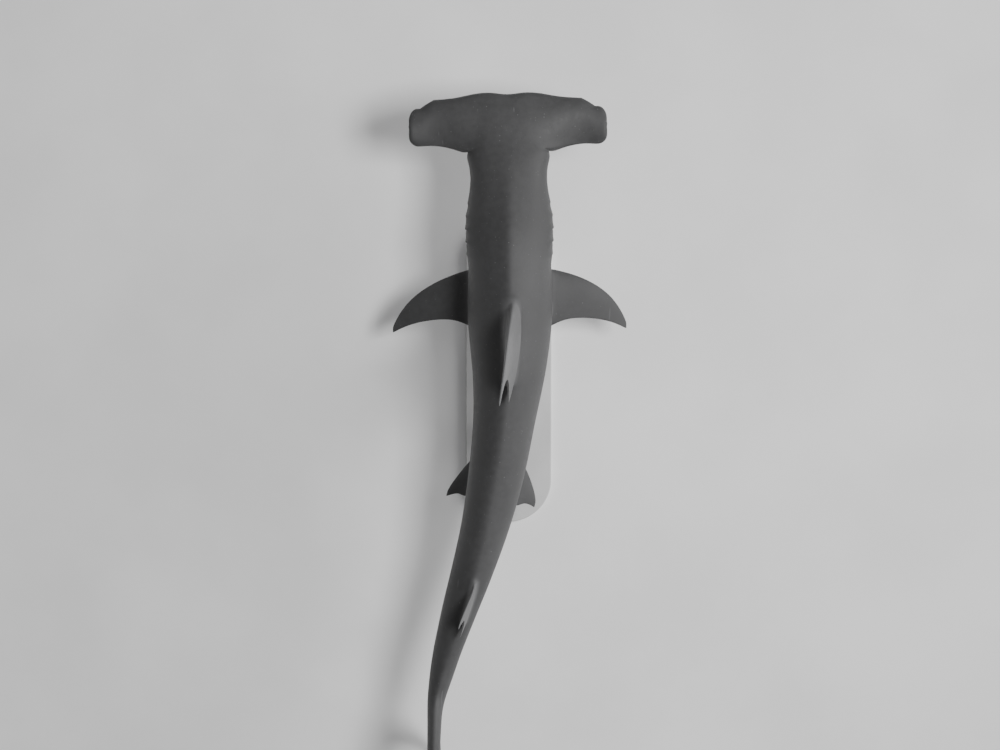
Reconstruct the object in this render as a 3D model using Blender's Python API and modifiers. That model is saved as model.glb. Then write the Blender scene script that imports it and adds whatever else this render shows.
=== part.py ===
"""Great hammerhead shark at life size, a still model on a plain display stand.

Metres, +Z up. The head points to -Y and the shark's left side is +X. The origin is on the floor,
at the centre of the stand's base. The fish is one coarse cage, grown by extrusion from a small grid:
first the body from the snout to the tip of the tail, then the two wings of the head and each fin.
The smoothed cage is parted by thin cuts into its named pieces.

Places on the fish are given as a station, the distance behind the snout, with a distance across to
the left of the body's bent axis and a height over it.
"""

import math
from collections import namedtuple

import bmesh
import bpy
from mathutils import Matrix, Vector

GAP = 0.0003
AXIS_HEIGHT = 0.48
SNOUT_Y = -1.047
BEND_STEP = 0.02   # how far before and behind a station the axis's heading is read

# The bent axis and the body's outline, as (station, value) points on smooth curves.
MIDLINE = ((0.0, 0.006), (0.33, 0.001), (0.78, -0.004), (1.0, -0.002), (1.15, 0.009), (1.39, 0.040),
           (1.62, 0.086), (1.80, 0.138), (1.98, 0.196), (2.16, 0.247), (2.34, 0.279), (2.60, 0.281),
           (3.08, 0.262))
ROLL_DEGREES = ((1.56, 0.0), (1.73, 8.0), (1.86, 14.0), (2.0, 17.0), (2.12, 12.0), (2.28, 0.0))
HALF_WIDTH = ((0.0, 0.118), (0.07, 0.130), (0.207, 0.148), (0.240, 0.160), (0.28, 0.146), (0.339, 0.144),
              (0.40, 0.153), (0.50, 0.165), (0.57, 0.163), (0.66, 0.157), (0.78, 0.162), (0.87, 0.159),
              (0.956, 0.151), (1.10, 0.133), (1.24, 0.117), (1.39, 0.1085), (1.57, 0.0960),
              (1.74, 0.0825), (1.90, 0.0690), (2.05, 0.0555), (2.18, 0.046), (2.27, 0.035),
              (2.34, 0.028), (2.47, 0.024), (2.60, 0.019), (2.80, 0.013), (2.95, 0.008), (3.08, 0.004))
TOP_EDGE = ((0.0, 0.036), (0.035, 0.043), (0.105, 0.059), (0.207, 0.078), (0.279, 0.095), (0.40, 0.125),
            (0.50, 0.152), (0.62, 0.177), (0.78, 0.205), (0.95, 0.213), (1.10, 0.201), (1.25, 0.182),
            (1.40, 0.162), (1.57, 0.139), (1.74, 0.118), (1.90, 0.100), (2.05, 0.085), (2.20, 0.070),
            (2.27, 0.068), (2.35, 0.104), (2.50, 0.197), (2.70, 0.318), (2.90, 0.436), (3.08, 0.540))
LOW_EDGE = ((0.0, -0.036), (0.035, -0.040), (0.105, -0.052), (0.207, -0.066), (0.279, -0.084),
            (0.40, -0.118), (0.50, -0.143), (0.62, -0.165), (0.78, -0.185), (0.95, -0.192),
            (1.10, -0.182), (1.25, -0.166), (1.40, -0.149), (1.57, -0.129), (1.74, -0.110),
            (1.90, -0.093), (2.05, -0.077), (2.20, -0.062), (2.28, -0.058), (2.37, -0.052),
            (2.45, -0.022), (2.53, 0.040), (2.65, 0.134), (2.78, 0.238), (2.865, 0.308), (2.893, 0.360),
            (2.915, 0.386), (2.945, 0.372), (2.985, 0.396), (3.08, 0.520))
WIDEST_HEIGHT = ((0.0, 0.0), (2.15, 0.0), (2.27, 0.008), (2.37, 0.050), (2.50, 0.145), (2.70, 0.271),
                 (2.90, 0.398), (3.08, 0.529))
BACK_RIDGE = ((0.15, 0.0), (0.30, 0.006), (0.60, 0.009), (0.78, 0.004), (0.95, 0.0))

# How square or keen the body's section is: powers of the sine and cosine round it, below 1 square.
WIDTH_POWER_ABOVE = ((0.0, 0.62), (0.20, 0.72), (0.32, 1.0), (0.45, 1.22), (0.8, 1.28), (1.3, 1.12),
                     (2.2, 1.05), (2.6, 0.9))
WIDTH_POWER_BELOW = ((0.0, 0.60), (0.22, 0.62), (0.45, 0.8), (0.8, 0.86), (2.2, 0.95), (2.45, 2.2),
                     (2.8, 2.4), (3.08, 1.2))
HEIGHT_POWER = ((0.0, 0.55), (0.20, 0.66), (0.32, 0.80), (0.45, 0.88), (0.8, 0.95), (2.2, 1.0))
CAGE_SWELL = 1.024   # the smoothed surface lies this much inside its cage

# The head's wings, as (distance across, station) points along the front and the rear edge.
HEAD_FRONT = ((0.0, 0.012), (0.03, 0.006), (0.066, -0.002), (0.126, 0.004), (0.177, 0.015), (0.217, 0.021),
              (0.27, 0.024), (0.288, 0.0265), (0.304, 0.038), (0.327, 0.058), (0.350, 0.0545),
              (0.366, 0.070), (0.376, 0.098))
HEAD_REAR = ((0.0, 0.207), (0.143, 0.216), (0.166, 0.230), (0.187, 0.221), (0.217, 0.210), (0.251, 0.203),
             (0.291, 0.199), (0.345, 0.202), (0.362, 0.197), (0.376, 0.17))
WING_THICKNESS = ((0.16, 0.098), (0.21, 0.083), (0.27, 0.070), (0.33, 0.064), (0.38, 0.062))
WING_ACROSS = (0.166, 0.208, 0.248, 0.280, 0.304, 0.327, 0.350, 0.369)
WING_SHARES = (0.11, 0.29, 0.48, 0.68, 0.87)
WING_END_SHARES = (0.14, 0.40, 0.66, 0.82, 0.93)
HEAD_STATIONS = (0.0, 0.035, 0.070, 0.105, 0.139, 0.173, 0.207)

NECK_STATIONS = (0.240, 0.281, 0.336, 0.394)
GILL_STATIONS = (0.448, 0.497, 0.546, 0.595, 0.642)
CHEST_STATIONS = (0.663, 0.72, 0.783, 0.834, 0.888)
BACK_STATIONS = (0.955, 1.027, 1.099)
BELLY_STATIONS = (1.167, 1.235, 1.303)
PELVIC_STATIONS = (1.367, 1.412, 1.455, 1.50)
REAR_STATIONS = (1.574, 1.657, 1.74)
SECOND_FIN_STATIONS = (1.822, 1.861, 1.901, 1.940, 1.980)
STALK_STATIONS = (2.048, 2.118, 2.186, 2.24, 2.272)
LOWER_LOBE_STATIONS = (2.302, 2.338, 2.374, 2.412, 2.450)
UPPER_LOBE_STATIONS = (2.51, 2.60, 2.70, 2.79, 2.85, 2.880, 2.903, 2.935, 2.975, 3.03, 3.078)
STATIONS = (HEAD_STATIONS + NECK_STATIONS + GILL_STATIONS + CHEST_STATIONS + BACK_STATIONS
            + BELLY_STATIONS + PELVIC_STATIONS + REAR_STATIONS + SECOND_FIN_STATIONS + STALK_STATIONS
            + LOWER_LOBE_STATIONS + UPPER_LOBE_STATIONS)

# The cage has four faces across and four up. These are its corner-to-corner columns, in degrees
# from straight up, for the left half; the right half mirrors them.
HALF_GRID = 2
COLUMN_DEGREES = {(0, 2): 0, (1, 2): 17, (2, 2): 38, (2, 1): 63, (2, 0): 90, (2, -1): 112,
                  (2, -2): 138, (1, -2): 165, (0, -2): 180}

SNOUT_HALF_ACROSS = 0.124
SNOUT_HALF_THICKNESS = 0.034
SNOUT_ROUNDING = 0.012
TAIL_TIP_ROUNDING = 0.006
WING_NOSE_ROUNDING = 0.07
WING_NOSE_BLUNTNESS = 0.62
WING_HEEL_ROUNDING = 0.04
WING_HEEL_BLUNTNESS = ((0.166, 0.72), (0.208, 0.36), (0.26, 0.13), (0.33, 0.16), (0.369, 0.36))
WING_FULLNESS = ((0.166, 0.9), (0.208, 0.45), (0.26, 0.10), (0.33, 0.35), (0.369, 1.0))

# The eye, and the loops of its lids: the skin round them, their foot, crest and inner edge.
EYE_STATION = 0.125
EYE_ACROSS = 0.3560
EYE_HEIGHT = -0.001
EYE_RADIUS = 0.0190
EYE_RINGS = (1, 3)
LID_SKIN_RADIUS = 0.0275
LID_RADII = (0.0225, 0.0192, 0.0163)
LID_ACROSS = (0.3710, 0.3735, 0.3700)
SOCKET_ACROSS = 0.352
WING_END = 0.3735

NOSTRIL_LEVELS = (4, 5, 6)
NOSTRIL_ACROSS = 0.306
NOSTRIL_HALF_LENGTH = 0.023
NOSTRIL_HALF_HEIGHT = 0.0058
NOSTRIL_RIM = 1.25
NOSTRIL_POCKET = 0.9
NOSTRIL_END_HEIGHT = 0.15
NOSTRIL_DEPTH = 0.016

MOUTH_RINGS = (5, 7)
MOUTH_FRONT = 0.150
MOUTH_CORNER = 0.218
MOUTH_HALF_WIDTH = 0.104
MOUTH_ARCH_POWER = 2.2
LIP_WIDTH = 0.010
LIP_PROUD = 0.0045
LIP_EDGE_PROUD = 0.0028
MOUTH_HALF_OPENING = 0.0028
MOUTH_DEPTH = 0.015

# Each gill slit runs down the side behind a flap with a free edge, from the first slit to the last.
# Its rows are at these shares of its length.
GILL_ROWS = {1: 0.0, 0: 0.33, -1: 0.67, -2: 1.0}
GILL_TOP_DEGREES = (91, 85, 77, 77, 87)
GILL_BOTTOM_DEGREES = (126, 125, 124, 121, 116)
GILL_SLANT = 0.012
GILL_BOW = 0.006
GILL_DEPTH = 0.012
GILL_FLAP_PROUD = 0.0055
GILL_HALF_OPENING = 0.0035
GILL_END_OPENING = 0.35

TRAILING_EDGE = 0.0035
FIN_STEP = 0.004   # how far along the span a fin's lean is read
NOSE_SHARE = 0.045
TAIL_SHARE = 0.955

# A fin's edges are (span, station) curves. Its middle runs across and up with the span, from the
# axis, and its base covers these faces of the cage: first and last station, and columns.
# A paired fin swings back by its swing for each metre of span, more on the left than on the right.
Fin = namedtuple("Fin", "name base columns spans front rear across up thickness swing swing_bias",
                 defaults=(0.0, 0.0))

FIRST_DORSAL = Fin(
    "dorsal_first", (0.783, 1.099), ((-1, 2), (0, 2), (1, 2)),
    spans=(0.226, 0.246, 0.285, 0.345, 0.415, 0.49, 0.56, 0.615, 0.655, 0.672),
    front=((0.21, 0.785), (0.26, 0.812), (0.31, 0.842), (0.41, 0.905), (0.51, 0.978), (0.59, 1.052),
           (0.64, 1.112), (0.675, 1.166)),
    rear=((0.21, 1.100), (0.228, 1.125), (0.246, 1.198), (0.262, 1.158), (0.29, 1.115), (0.33, 1.092),
          (0.41, 1.083), (0.51, 1.098), (0.59, 1.128), (0.64, 1.156), (0.675, 1.180)),
    across=((0.21, -0.012), (0.26, -0.007), (0.4, 0.004), (0.675, 0.025)),
    up=((0.0, 0.0), (1.0, 1.0)),
    thickness=((0.21, 0.078), (0.246, 0.058), (0.30, 0.042), (0.40, 0.028), (0.52, 0.017), (0.675, 0.006)))

SECOND_DORSAL = Fin(
    "dorsal_second", (1.822, 1.980), ((-1, 2), (0, 2), (1, 2)),
    spans=(0.118, 0.135, 0.165, 0.205, 0.25, 0.285, 0.302),
    front=((0.10, 1.822), (0.15, 1.854), (0.20, 1.890), (0.25, 1.930), (0.30, 1.974)),
    rear=((0.10, 1.980), (0.118, 1.998), (0.135, 2.052), (0.150, 2.016), (0.175, 1.972), (0.21, 1.957),
          (0.26, 1.966), (0.305, 1.988)),
    across=((0.10, 0.0), (0.15, 0.012), (0.30, 0.078)),
    up=((0.0, 0.0), (1.0, 1.0)),
    thickness=((0.10, 0.026), (0.14, 0.018), (0.2, 0.012), (0.305, 0.005)))

ANAL_FIN = Fin(
    "anal_fin", (1.822, 1.980), ((-1, -2), (0, -2), (1, -2)),
    spans=(0.108, 0.124, 0.150, 0.185, 0.225, 0.245),
    front=((0.09, 1.822), (0.13, 1.858), (0.18, 1.915), (0.22, 1.972), (0.246, 2.020)),
    rear=((0.09, 1.980), (0.108, 1.994), (0.124, 2.050), (0.138, 2.008), (0.155, 1.968), (0.18, 1.960),
          (0.22, 1.998), (0.247, 2.034)),
    across=((0.09, 0.0), (0.14, -0.006), (0.25, -0.040)),
    up=((0.0, 0.0), (1.0, -1.0)),
    thickness=((0.09, 0.024), (0.13, 0.016), (0.19, 0.010), (0.25, 0.005)))

PECTORAL = Fin(
    "pectoral", (0.663, 0.888), ((2, -1), (2, -2), (1, -2)),
    spans=(0.150, 0.196, 0.250, 0.308, 0.360, 0.404, 0.438, 0.453),
    front=((0.154, 0.655), (0.215, 0.675), (0.27, 0.695), (0.32, 0.721), (0.362, 0.750), (0.398, 0.783),
           (0.43, 0.827), (0.455, 0.882)),
    rear=((0.154, 0.886), (0.175, 0.876), (0.198, 0.860), (0.235, 0.853), (0.28, 0.854), (0.335, 0.861),
          (0.385, 0.872), (0.425, 0.888), (0.456, 0.904)),
    across=((0.0, 0.0), (1.0, 1.0)),
    up=((0.14, -0.134), (0.20, -0.146), (0.30, -0.179), (0.38, -0.219), (0.455, -0.265)),
    thickness=((0.14, 0.050), (0.20, 0.034), (0.30, 0.023), (0.40, 0.012), (0.45, 0.006)),
    swing=0.042, swing_bias=-0.6)

PELVIC = Fin(
    "pelvic", (1.367, 1.50), ((2, -1), (2, -2), (1, -2)),
    spans=(0.086, 0.104, 0.126, 0.147, 0.162, 0.170),
    front=((0.07, 1.372), (0.105, 1.402), (0.1235, 1.434), (0.140, 1.466), (0.157, 1.498), (0.173, 1.546)),
    rear=((0.07, 1.503), (0.086, 1.545), (0.096, 1.562), (0.110, 1.546), (0.125, 1.541), (0.148, 1.549),
          (0.165, 1.558), (0.174, 1.565)),
    across=((0.0, 0.0), (1.0, 1.0)),
    up=((0.07, -0.117), (0.11, -0.147), (0.174, -0.196)),
    thickness=((0.07, 0.030), (0.10, 0.018), (0.14, 0.011), (0.174, 0.005)),
    swing=0.175, swing_bias=-0.41)

LOWER_LOBE = Fin(
    "caudal_lower", (2.302, 2.450), ((-1, -2), (0, -2), (1, -2)),
    spans=(0.092, 0.135, 0.185, 0.24, 0.295, 0.35, 0.395, 0.42),
    front=((0.05, 2.290), (0.12, 2.325), (0.20, 2.374), (0.30, 2.446), (0.38, 2.512), (0.422, 2.556)),
    rear=((0.03, 2.462), (0.07, 2.448), (0.12, 2.445), (0.20, 2.462), (0.30, 2.500), (0.38, 2.540),
          (0.422, 2.566)),
    across=((0.0, 0.0), (0.1, 0.0), (0.43, -0.012)),
    up=((0.0, 0.0), (1.0, -1.0)),
    thickness=((0.06, 0.034), (0.14, 0.024), (0.28, 0.015), (0.422, 0.006)))

# Cuts across the body, by station. The last one runs through the raised root of the tail fin.
BODY_CUTS = (0.388, 0.648, 1.235, 1.75, 2.262)
BODY_CUT_SIZE = 0.5
TAIL_CUT_HEIGHT = 0.06

# Cuts through the roots: size of the thin box, its middle as (station, across, height), and the
# degrees by which it tips up to the rear or, on the pelvic fins, leans in under the belly.
WING_CUT = ((GAP, 0.40, 0.30), (0.11, 0.172, 0.0))
PECTORAL_CUT = ((GAP, 0.30, 0.20), (0.80, 0.176, -0.15))
PELVIC_CUT = ((GAP, 0.26, 0.14), (1.46, 0.078, -0.120))
PELVIC_CUT_LEAN = 40
ROOT_CUTS = {
    "first_dorsal": ((0.12, 0.50, GAP), (0.985, 0.0, 0.2235), 0),
    "second_dorsal": ((0.08, 0.30, GAP), (1.935, 0.0, 0.1115), -6),
    "anal_fin": ((0.08, 0.30, GAP), (1.935, 0.0, -0.1015), 6),
    "lower_lobe": ((0.12, 0.28, GAP), (2.37, 0.0, -0.072), 12),
}
KEPT_SHARE = 0.56   # of the smoothed mesh's triangles, the flattest ones joined

EYE_SEGMENTS = 20
EYE_LOOPS = 12

STAND_BASE_LENGTH = 1.20
STAND_BASE_WIDTH = 0.34
STAND_BASE_THICKNESS = 0.025
STAND_BASE_EDGE = 0.004
STAND_BASE_SIDES = 64
STAND_ROD_RADIUS = 0.016
STAND_ROD_TOP = -0.10   # over the axis, inside the belly before it is cut to it
STAND_COLLAR_RADIUS = 0.030
STAND_COLLAR_HEIGHT = 0.018
STAND_COLLAR_SLOPE = 0.006
STAND_ROD_STATIONS = {"stand_rod_front": 0.77, "stand_rod_rear": 1.29}
STAND_ROD_SIDES = 24

SKIN_GREY = (0.10, 0.105, 0.11, 1.0)
EYE_GREY = (0.02, 0.02, 0.022, 1.0)
BASE_GREY = (0.55, 0.55, 0.54, 1.0)
STEEL_GREY = (0.52, 0.53, 0.55, 1.0)


def slope_at(points, index):
    """The slope of the smooth curve at one of its points, none where it is a crest or a dip."""
    slopes = []
    for first in (index - 1, index):
        if 0 <= first < len(points) - 1:
            (x0, y0), (x1, y1) = points[first], points[first + 1]
            slopes.append((y1 - y0) / (x1 - x0))
    if len(slopes) == 1:
        return slopes[0]
    before, after = slopes
    if before * after <= 0:
        return 0.0
    return 2 * before * after / (before + after)


def smooth(points, place):
    """The value at a place on the smooth curve through (place, value) points."""
    if place <= points[0][0]:
        return points[0][1]
    if place >= points[-1][0]:
        return points[-1][1]
    index = max(n for n, point in enumerate(points[:-1]) if point[0] <= place)
    (x0, y0), (x1, y1) = points[index], points[index + 1]
    step = x1 - x0
    t = (place - x0) / step
    value = (2 * t ** 3 - 3 * t ** 2 + 1) * y0 + (3 * t ** 2 - 2 * t ** 3) * y1
    value += (t ** 3 - 2 * t ** 2 + t) * step * slope_at(points, index)
    value += (t ** 3 - t ** 2) * step * slope_at(points, index + 1)
    return value


def blend(low, high, share):
    return low + (high - low) * share


def on_fish(station, across, height):
    """A place beside the body's bent axis, as a point of the part."""
    lean = (smooth(MIDLINE, station + BEND_STEP) - smooth(MIDLINE, station - BEND_STEP)) / (2 * BEND_STEP)
    heading = math.atan(lean)
    roll = math.radians(smooth(ROLL_DEGREES, station)) if station > ROLL_DEGREES[0][0] else 0.0
    side = across * math.cos(roll) - height * math.sin(roll)
    rise = height * math.cos(roll) + across * math.sin(roll)
    return Vector((smooth(MIDLINE, station) + side * math.cos(heading),
                   SNOUT_Y + station - side * math.sin(heading),
                   AXIS_HEIGHT + rise))


def section_point(station, degrees, proud=0.0):
    """(across, height) on the body's skin, at an angle from straight up, and proud of it if asked."""
    angle = math.radians(degrees)
    above = math.cos(angle) >= 0
    widest = smooth(WIDEST_HEIGHT, station)
    edge = smooth(TOP_EDGE if above else LOW_EDGE, station)
    width_power = smooth(WIDTH_POWER_ABOVE if above else WIDTH_POWER_BELOW, station)
    half_width = smooth(HALF_WIDTH, station) * CAGE_SWELL + proud
    half_height = (edge - widest) * CAGE_SWELL + math.copysign(proud, edge - widest)
    across = half_width * math.copysign(abs(math.sin(angle)) ** width_power, math.sin(angle))
    height = widest + half_height * abs(math.cos(angle)) ** smooth(HEIGHT_POWER, station)
    if degrees == 0:
        height += smooth(BACK_RIDGE, station)
    return across, height


def column_degrees(column):
    """The angle of a column on the rim of the cage's grid, negative on the right."""
    across, up = column
    degrees = COLUMN_DEGREES[(abs(across), up)]
    return math.copysign(degrees, across) if across else degrees


def foil(share):
    """Half the thickness of a fin along its chord, 1 at the thickest."""
    root = 0.2969 * math.sqrt(share)
    return (root - 0.126 * share - 0.3516 * share ** 2 + 0.2843 * share ** 3 - 0.1015 * share ** 4) * 9.9


def blunt(share):
    """Half the thickness along the chord of a section with a round front and rear, 1 at the middle."""
    return (1 - (2 * share - 1) ** 2) ** 0.4


def body_place(label):
    """A cage vertex on the body, from the snout's rim to the tip of the tail."""
    if label.ring == 0:
        return snout_place(label)
    station = STATIONS[label.ring]
    if max(abs(label.across), abs(label.up)) < HALF_GRID:
        rim_across, height = section_point(station, column_degrees((HALF_GRID, label.up)))
        return on_fish(station + TAIL_TIP_ROUNDING, rim_across * label.across / HALF_GRID, height)
    across, height = section_point(station, column_degrees((label.across, label.up)))
    if label.ring < len(HEAD_STATIONS):
        front = smooth(HEAD_FRONT, abs(across))
        rear = smooth(HEAD_REAR, abs(across))
        station = blend(front, rear, station / HEAD_STATIONS[-1])
    return on_fish(station, across, height)


def snout_place(label):
    """The rounded front edge of the head between its wings."""
    across = SNOUT_HALF_ACROSS * label.across / HALF_GRID
    turn = math.radians(45 * label.up)
    station = smooth(HEAD_FRONT, abs(across)) + SNOUT_ROUNDING * (1 - math.cos(turn))
    return on_fish(station, across, SNOUT_HALF_THICKNESS * math.sin(turn))


def wing_place(label):
    """A cage vertex on a wing of the head, whose section is a foil with a rounded rear edge."""
    side = math.copysign(1, label.across)
    across = WING_ACROSS[label.level - 1]
    last_ring = len(HEAD_STATIONS) - 1
    at_end = label.level == len(WING_ACROSS)
    if at_end and between(label.ring, EYE_RINGS) and abs(label.up) < HALF_GRID:
        return eye_ring_place(label, LID_SKIN_RADIUS, WING_END)
    half_thickness = smooth(WING_THICKNESS, across) / 2
    turn = math.radians(45 * label.up)
    fullness = smooth(WING_FULLNESS, across)
    if label.ring == 0:
        share = WING_NOSE_ROUNDING * (1 - math.cos(turn))
        height = half_thickness * WING_NOSE_BLUNTNESS * math.sin(turn)
    elif label.ring == last_ring:
        share = 1 - WING_HEEL_ROUNDING * (1 - math.cos(turn))
        height = half_thickness * smooth(WING_HEEL_BLUNTNESS, across) * math.sin(turn)
    else:
        outward = (label.level / len(WING_ACROSS)) ** 3
        share = blend(WING_SHARES[label.ring - 1], WING_END_SHARES[label.ring - 1], outward)
        height = half_thickness * blend(foil(share), blunt(share), fullness) * label.up / HALF_GRID
        if at_end and abs(label.up) < HALF_GRID:
            across = WING_END
    return on_fish(blend(smooth(HEAD_FRONT, across), smooth(HEAD_REAR, across), share),
                   side * across, height)


def eye_ring_place(label, radius, across):
    """A vertex of the two by two patch over the eye, set on a circle round the eye's middle."""
    side = math.copysign(1, label.across)
    forward = label.ring - EYE_RINGS[0] - 1
    if forward == 0 and label.up == 0:
        return on_fish(EYE_STATION, side * across, EYE_HEIGHT)
    turn = math.atan2(label.up, forward)
    return on_fish(EYE_STATION + radius * math.cos(turn), side * across,
                   EYE_HEIGHT + radius * math.sin(turn))


def lid_place(label):
    """Loops round the eye: the foot, crest and inner edge of its lids, then the floor of its socket."""
    if label.level > len(LID_RADII):
        return eye_ring_place(label, LID_RADII[-1], SOCKET_ACROSS)
    return eye_ring_place(label, LID_RADII[label.level - 1], LID_ACROSS[label.level - 1])


def nostril_place(label):
    """Loops round the nostril, a slit along the front edge of the wing close to the eye."""
    side = math.copysign(1, label.across)
    along = label.origin_level - NOSTRIL_LEVELS[1]
    spread = NOSTRIL_RIM if label.level == 1 else NOSTRIL_POCKET
    across = NOSTRIL_ACROSS + NOSTRIL_HALF_LENGTH * spread * along
    height = NOSTRIL_HALF_HEIGHT * spread * label.up * (1.0 if along == 0 else NOSTRIL_END_HEIGHT)
    station = smooth(HEAD_FRONT, across) + (NOSTRIL_DEPTH if label.level == 2 else 0.0)
    return on_fish(station, side * across, height + EYE_HEIGHT)


def mouth_line(across):
    """The station of the closed mouth's line under the head."""
    share = min(1.0, abs(across) / MOUTH_HALF_WIDTH)
    return blend(MOUTH_FRONT, MOUTH_CORNER, share ** MOUTH_ARCH_POWER)


def mouth_place(label):
    """Loops round the mouth: the outer edge of the lips, the edge of the slit, and its floor."""
    behind_line = label.ring - MOUTH_RINGS[0] - 1
    half_width = MOUTH_HALF_WIDTH + (LIP_WIDTH if label.level == 1 else 0.0)
    across = half_width * math.sin(label.across / HALF_GRID * math.pi / 2)
    half_opening = (LIP_WIDTH, MOUTH_HALF_OPENING, MOUTH_HALF_OPENING)[label.level - 1]
    proud = (LIP_PROUD, LIP_EDGE_PROUD, -MOUTH_DEPTH)[label.level - 1]
    station = mouth_line(across) + half_opening * behind_line
    belly = section_point(station, column_degrees((1, -HALF_GRID)))[1]
    return on_fish(station, across, belly - proud)


def gill_place(label, slit):
    """Loops round a gill slit: the flap's free edge stands proud in front of the sunken slit."""
    first_ring = gill_ring(slit)
    behind = label.ring > first_ring
    share = GILL_ROWS[label.up]
    opening = GILL_HALF_OPENING * (GILL_END_OPENING if share in (0.0, 1.0) else 1.0)
    strength = math.sin(math.pi * blend(0.1, 0.9, share))
    station = (STATIONS[first_ring] + STATIONS[first_ring + 1]) / 2
    station += GILL_SLANT * (share - 0.5) - GILL_BOW * math.sin(math.pi * share)
    if label.level == 1:
        proud = 0.0 if behind else GILL_FLAP_PROUD * strength
        station += opening * (2.0 if behind else 0.6)
    else:
        proud = -GILL_DEPTH * strength
        station += opening * (0.1 if behind else -1.1)
    degrees = blend(GILL_TOP_DEGREES[slit], GILL_BOTTOM_DEGREES[slit], share)
    across, height = section_point(station, degrees, proud)
    return on_fish(station, math.copysign(across, label.across), height)


def is_paired(fin):
    """Whether a fin grows from each side, and not from the middle of the back or belly."""
    return fin.columns[0][0] == HALF_GRID


def fin_place(fin, label):
    """A cage vertex on a fin: along the chord by its ring, and by its column through the thickness."""
    side = math.copysign(1, label.across) if is_paired(fin) else 1
    span = fin.spans[label.level - 1]
    first, last = (STATIONS.index(station) for station in fin.base)
    through = fin.columns.index((side * label.across, label.up)) - 1
    share = blend(NOSE_SHARE, TAIL_SHARE, (label.ring - first) / (last - first))
    half_thickness = max(smooth(fin.thickness, span) / 2 * foil(share), TRAILING_EDGE / 2)
    if through == 0 and label.ring in (first, last):
        share = 0.0 if label.ring == first else 1.0
    station = blend(smooth(fin.front, span), smooth(fin.rear, span), share)
    station += fin.swing * (math.copysign(1, label.across) + fin.swing_bias) * (span - fin.spans[0])
    middle = fin_middle(fin, span)
    face = Vector((1, 0))
    if is_paired(fin):
        run = (fin_middle(fin, span + FIN_STEP) - middle).normalized()
        face = Vector((run.y, -run.x))
    place = middle + face * half_thickness * through
    return on_fish(station, side * place.x, place.y)


def fin_middle(fin, span):
    """(across, height) of a fin's middle plane at a distance along its span."""
    return Vector((smooth(fin.across, span), smooth(fin.up, span)))


Label = namedtuple("Label", "form level origin_level ring across up")
LAYERS = ("form", "level", "origin_level", "ring", "across", "up")
WING, EYE, NOSTRIL, MOUTH, FIRST_GILL, FIRST_FIN = 1, 2, 3, 4, 10, 20
FINS = (FIRST_DORSAL, SECOND_DORSAL, ANAL_FIN, PECTORAL, PELVIC, LOWER_LOBE)


def gill_ring(slit):
    """The ring of the cage in front of a gill slit, counted from the front."""
    return STATIONS.index(NECK_STATIONS[-1]) + slit


def cage_place(label):
    if label.form == WING:
        return wing_place(label)
    if label.form == EYE:
        return lid_place(label)
    if label.form == NOSTRIL:
        return nostril_place(label)
    if label.form == MOUTH:
        return mouth_place(label)
    if label.form >= FIRST_FIN:
        return fin_place(FINS[label.form - FIRST_FIN], label)
    if label.form >= FIRST_GILL:
        return gill_place(label, label.form - FIRST_GILL)
    return body_place(label)


def edit_mesh(cage):
    """The mesh being edited, with the layers that label its vertices."""
    mesh = bmesh.from_edit_mesh(cage.data)
    return mesh, [mesh.verts.layers.int[name] for name in LAYERS]


def label_of(vertex, layers):
    return Label(*[vertex[layer] for layer in layers])


def extrude_once(cage, **labels):
    """Extrude the selected faces in place, and label the vertices that move with them."""
    bpy.ops.mesh.extrude_region()
    mesh, layers = edit_mesh(cage)
    for vertex in mesh.verts:
        if vertex.select:
            for name, value in labels.items():
                vertex[layers[LAYERS.index(name)]] = value


def select_faces(cage, fits):
    """Select the faces whose corners' labels all fit."""
    bpy.ops.mesh.select_all(action="DESELECT")
    mesh, layers = edit_mesh(cage)
    for face in mesh.faces:
        if all(fits(label_of(vertex, layers)) for vertex in face.verts):
            face.select_set(True)
    bmesh.update_edit_mesh(cage.data)


def grow(cage, form, levels, fits):
    """Extrude a patch once for each level of a wing, fin or hollow."""
    select_faces(cage, fits)
    mesh, layers = edit_mesh(cage)
    origin = {vertex.index: vertex[layers[1]] for vertex in mesh.verts if vertex.select}
    for vertex in mesh.verts:
        if vertex.index in origin:
            vertex[layers[2]] = origin[vertex.index]
    for level in range(1, levels + 1):
        extrude_once(cage, form=form, level=level)


def start_cage():
    """A closed tube with a ring of vertices at each station, and a four by four grid at each end."""
    bpy.ops.mesh.primitive_grid_add(x_subdivisions=4, y_subdivisions=4, size=4)
    cage = bpy.context.object
    cage.name = "fish"
    for name in LAYERS:
        cage.data.attributes.new(name, "INT", "POINT")
    bpy.ops.object.mode_set(mode="EDIT")
    mesh, layers = edit_mesh(cage)
    for vertex in mesh.verts:
        vertex[layers[LAYERS.index("across")]] = round(vertex.co.x)
        vertex[layers[LAYERS.index("up")]] = round(vertex.co.y)
    for ring in range(1, len(STATIONS)):
        extrude_once(cage, ring=ring)
    return cage


def between(value, ends):
    return ends[0] <= value <= ends[1]


def grow_head(cage):
    """The two wings of the head, and in them the sockets, the nostrils and the mouth."""
    last_ring = len(HEAD_STATIONS) - 1
    wing_levels = len(WING_ACROSS)
    for side in (-1, 1):
        grow(cage, WING, wing_levels,
             lambda at: at.form == 0 and at.across == side * HALF_GRID and at.ring <= last_ring)
        grow(cage, EYE, len(LID_RADII) + 1,
             lambda at: at.form == WING and at.level == wing_levels and at.across == side * HALF_GRID
             and between(at.ring, EYE_RINGS) and abs(at.up) <= 1)
        grow(cage, NOSTRIL, 2,
             lambda at: at.form == WING and at.ring == 0 and at.across == side * HALF_GRID
             and at.level in NOSTRIL_LEVELS and abs(at.up) <= 1)
    grow(cage, MOUTH, 3,
         lambda at: at.form == 0 and at.up == -HALF_GRID and between(at.ring, MOUTH_RINGS))


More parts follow.
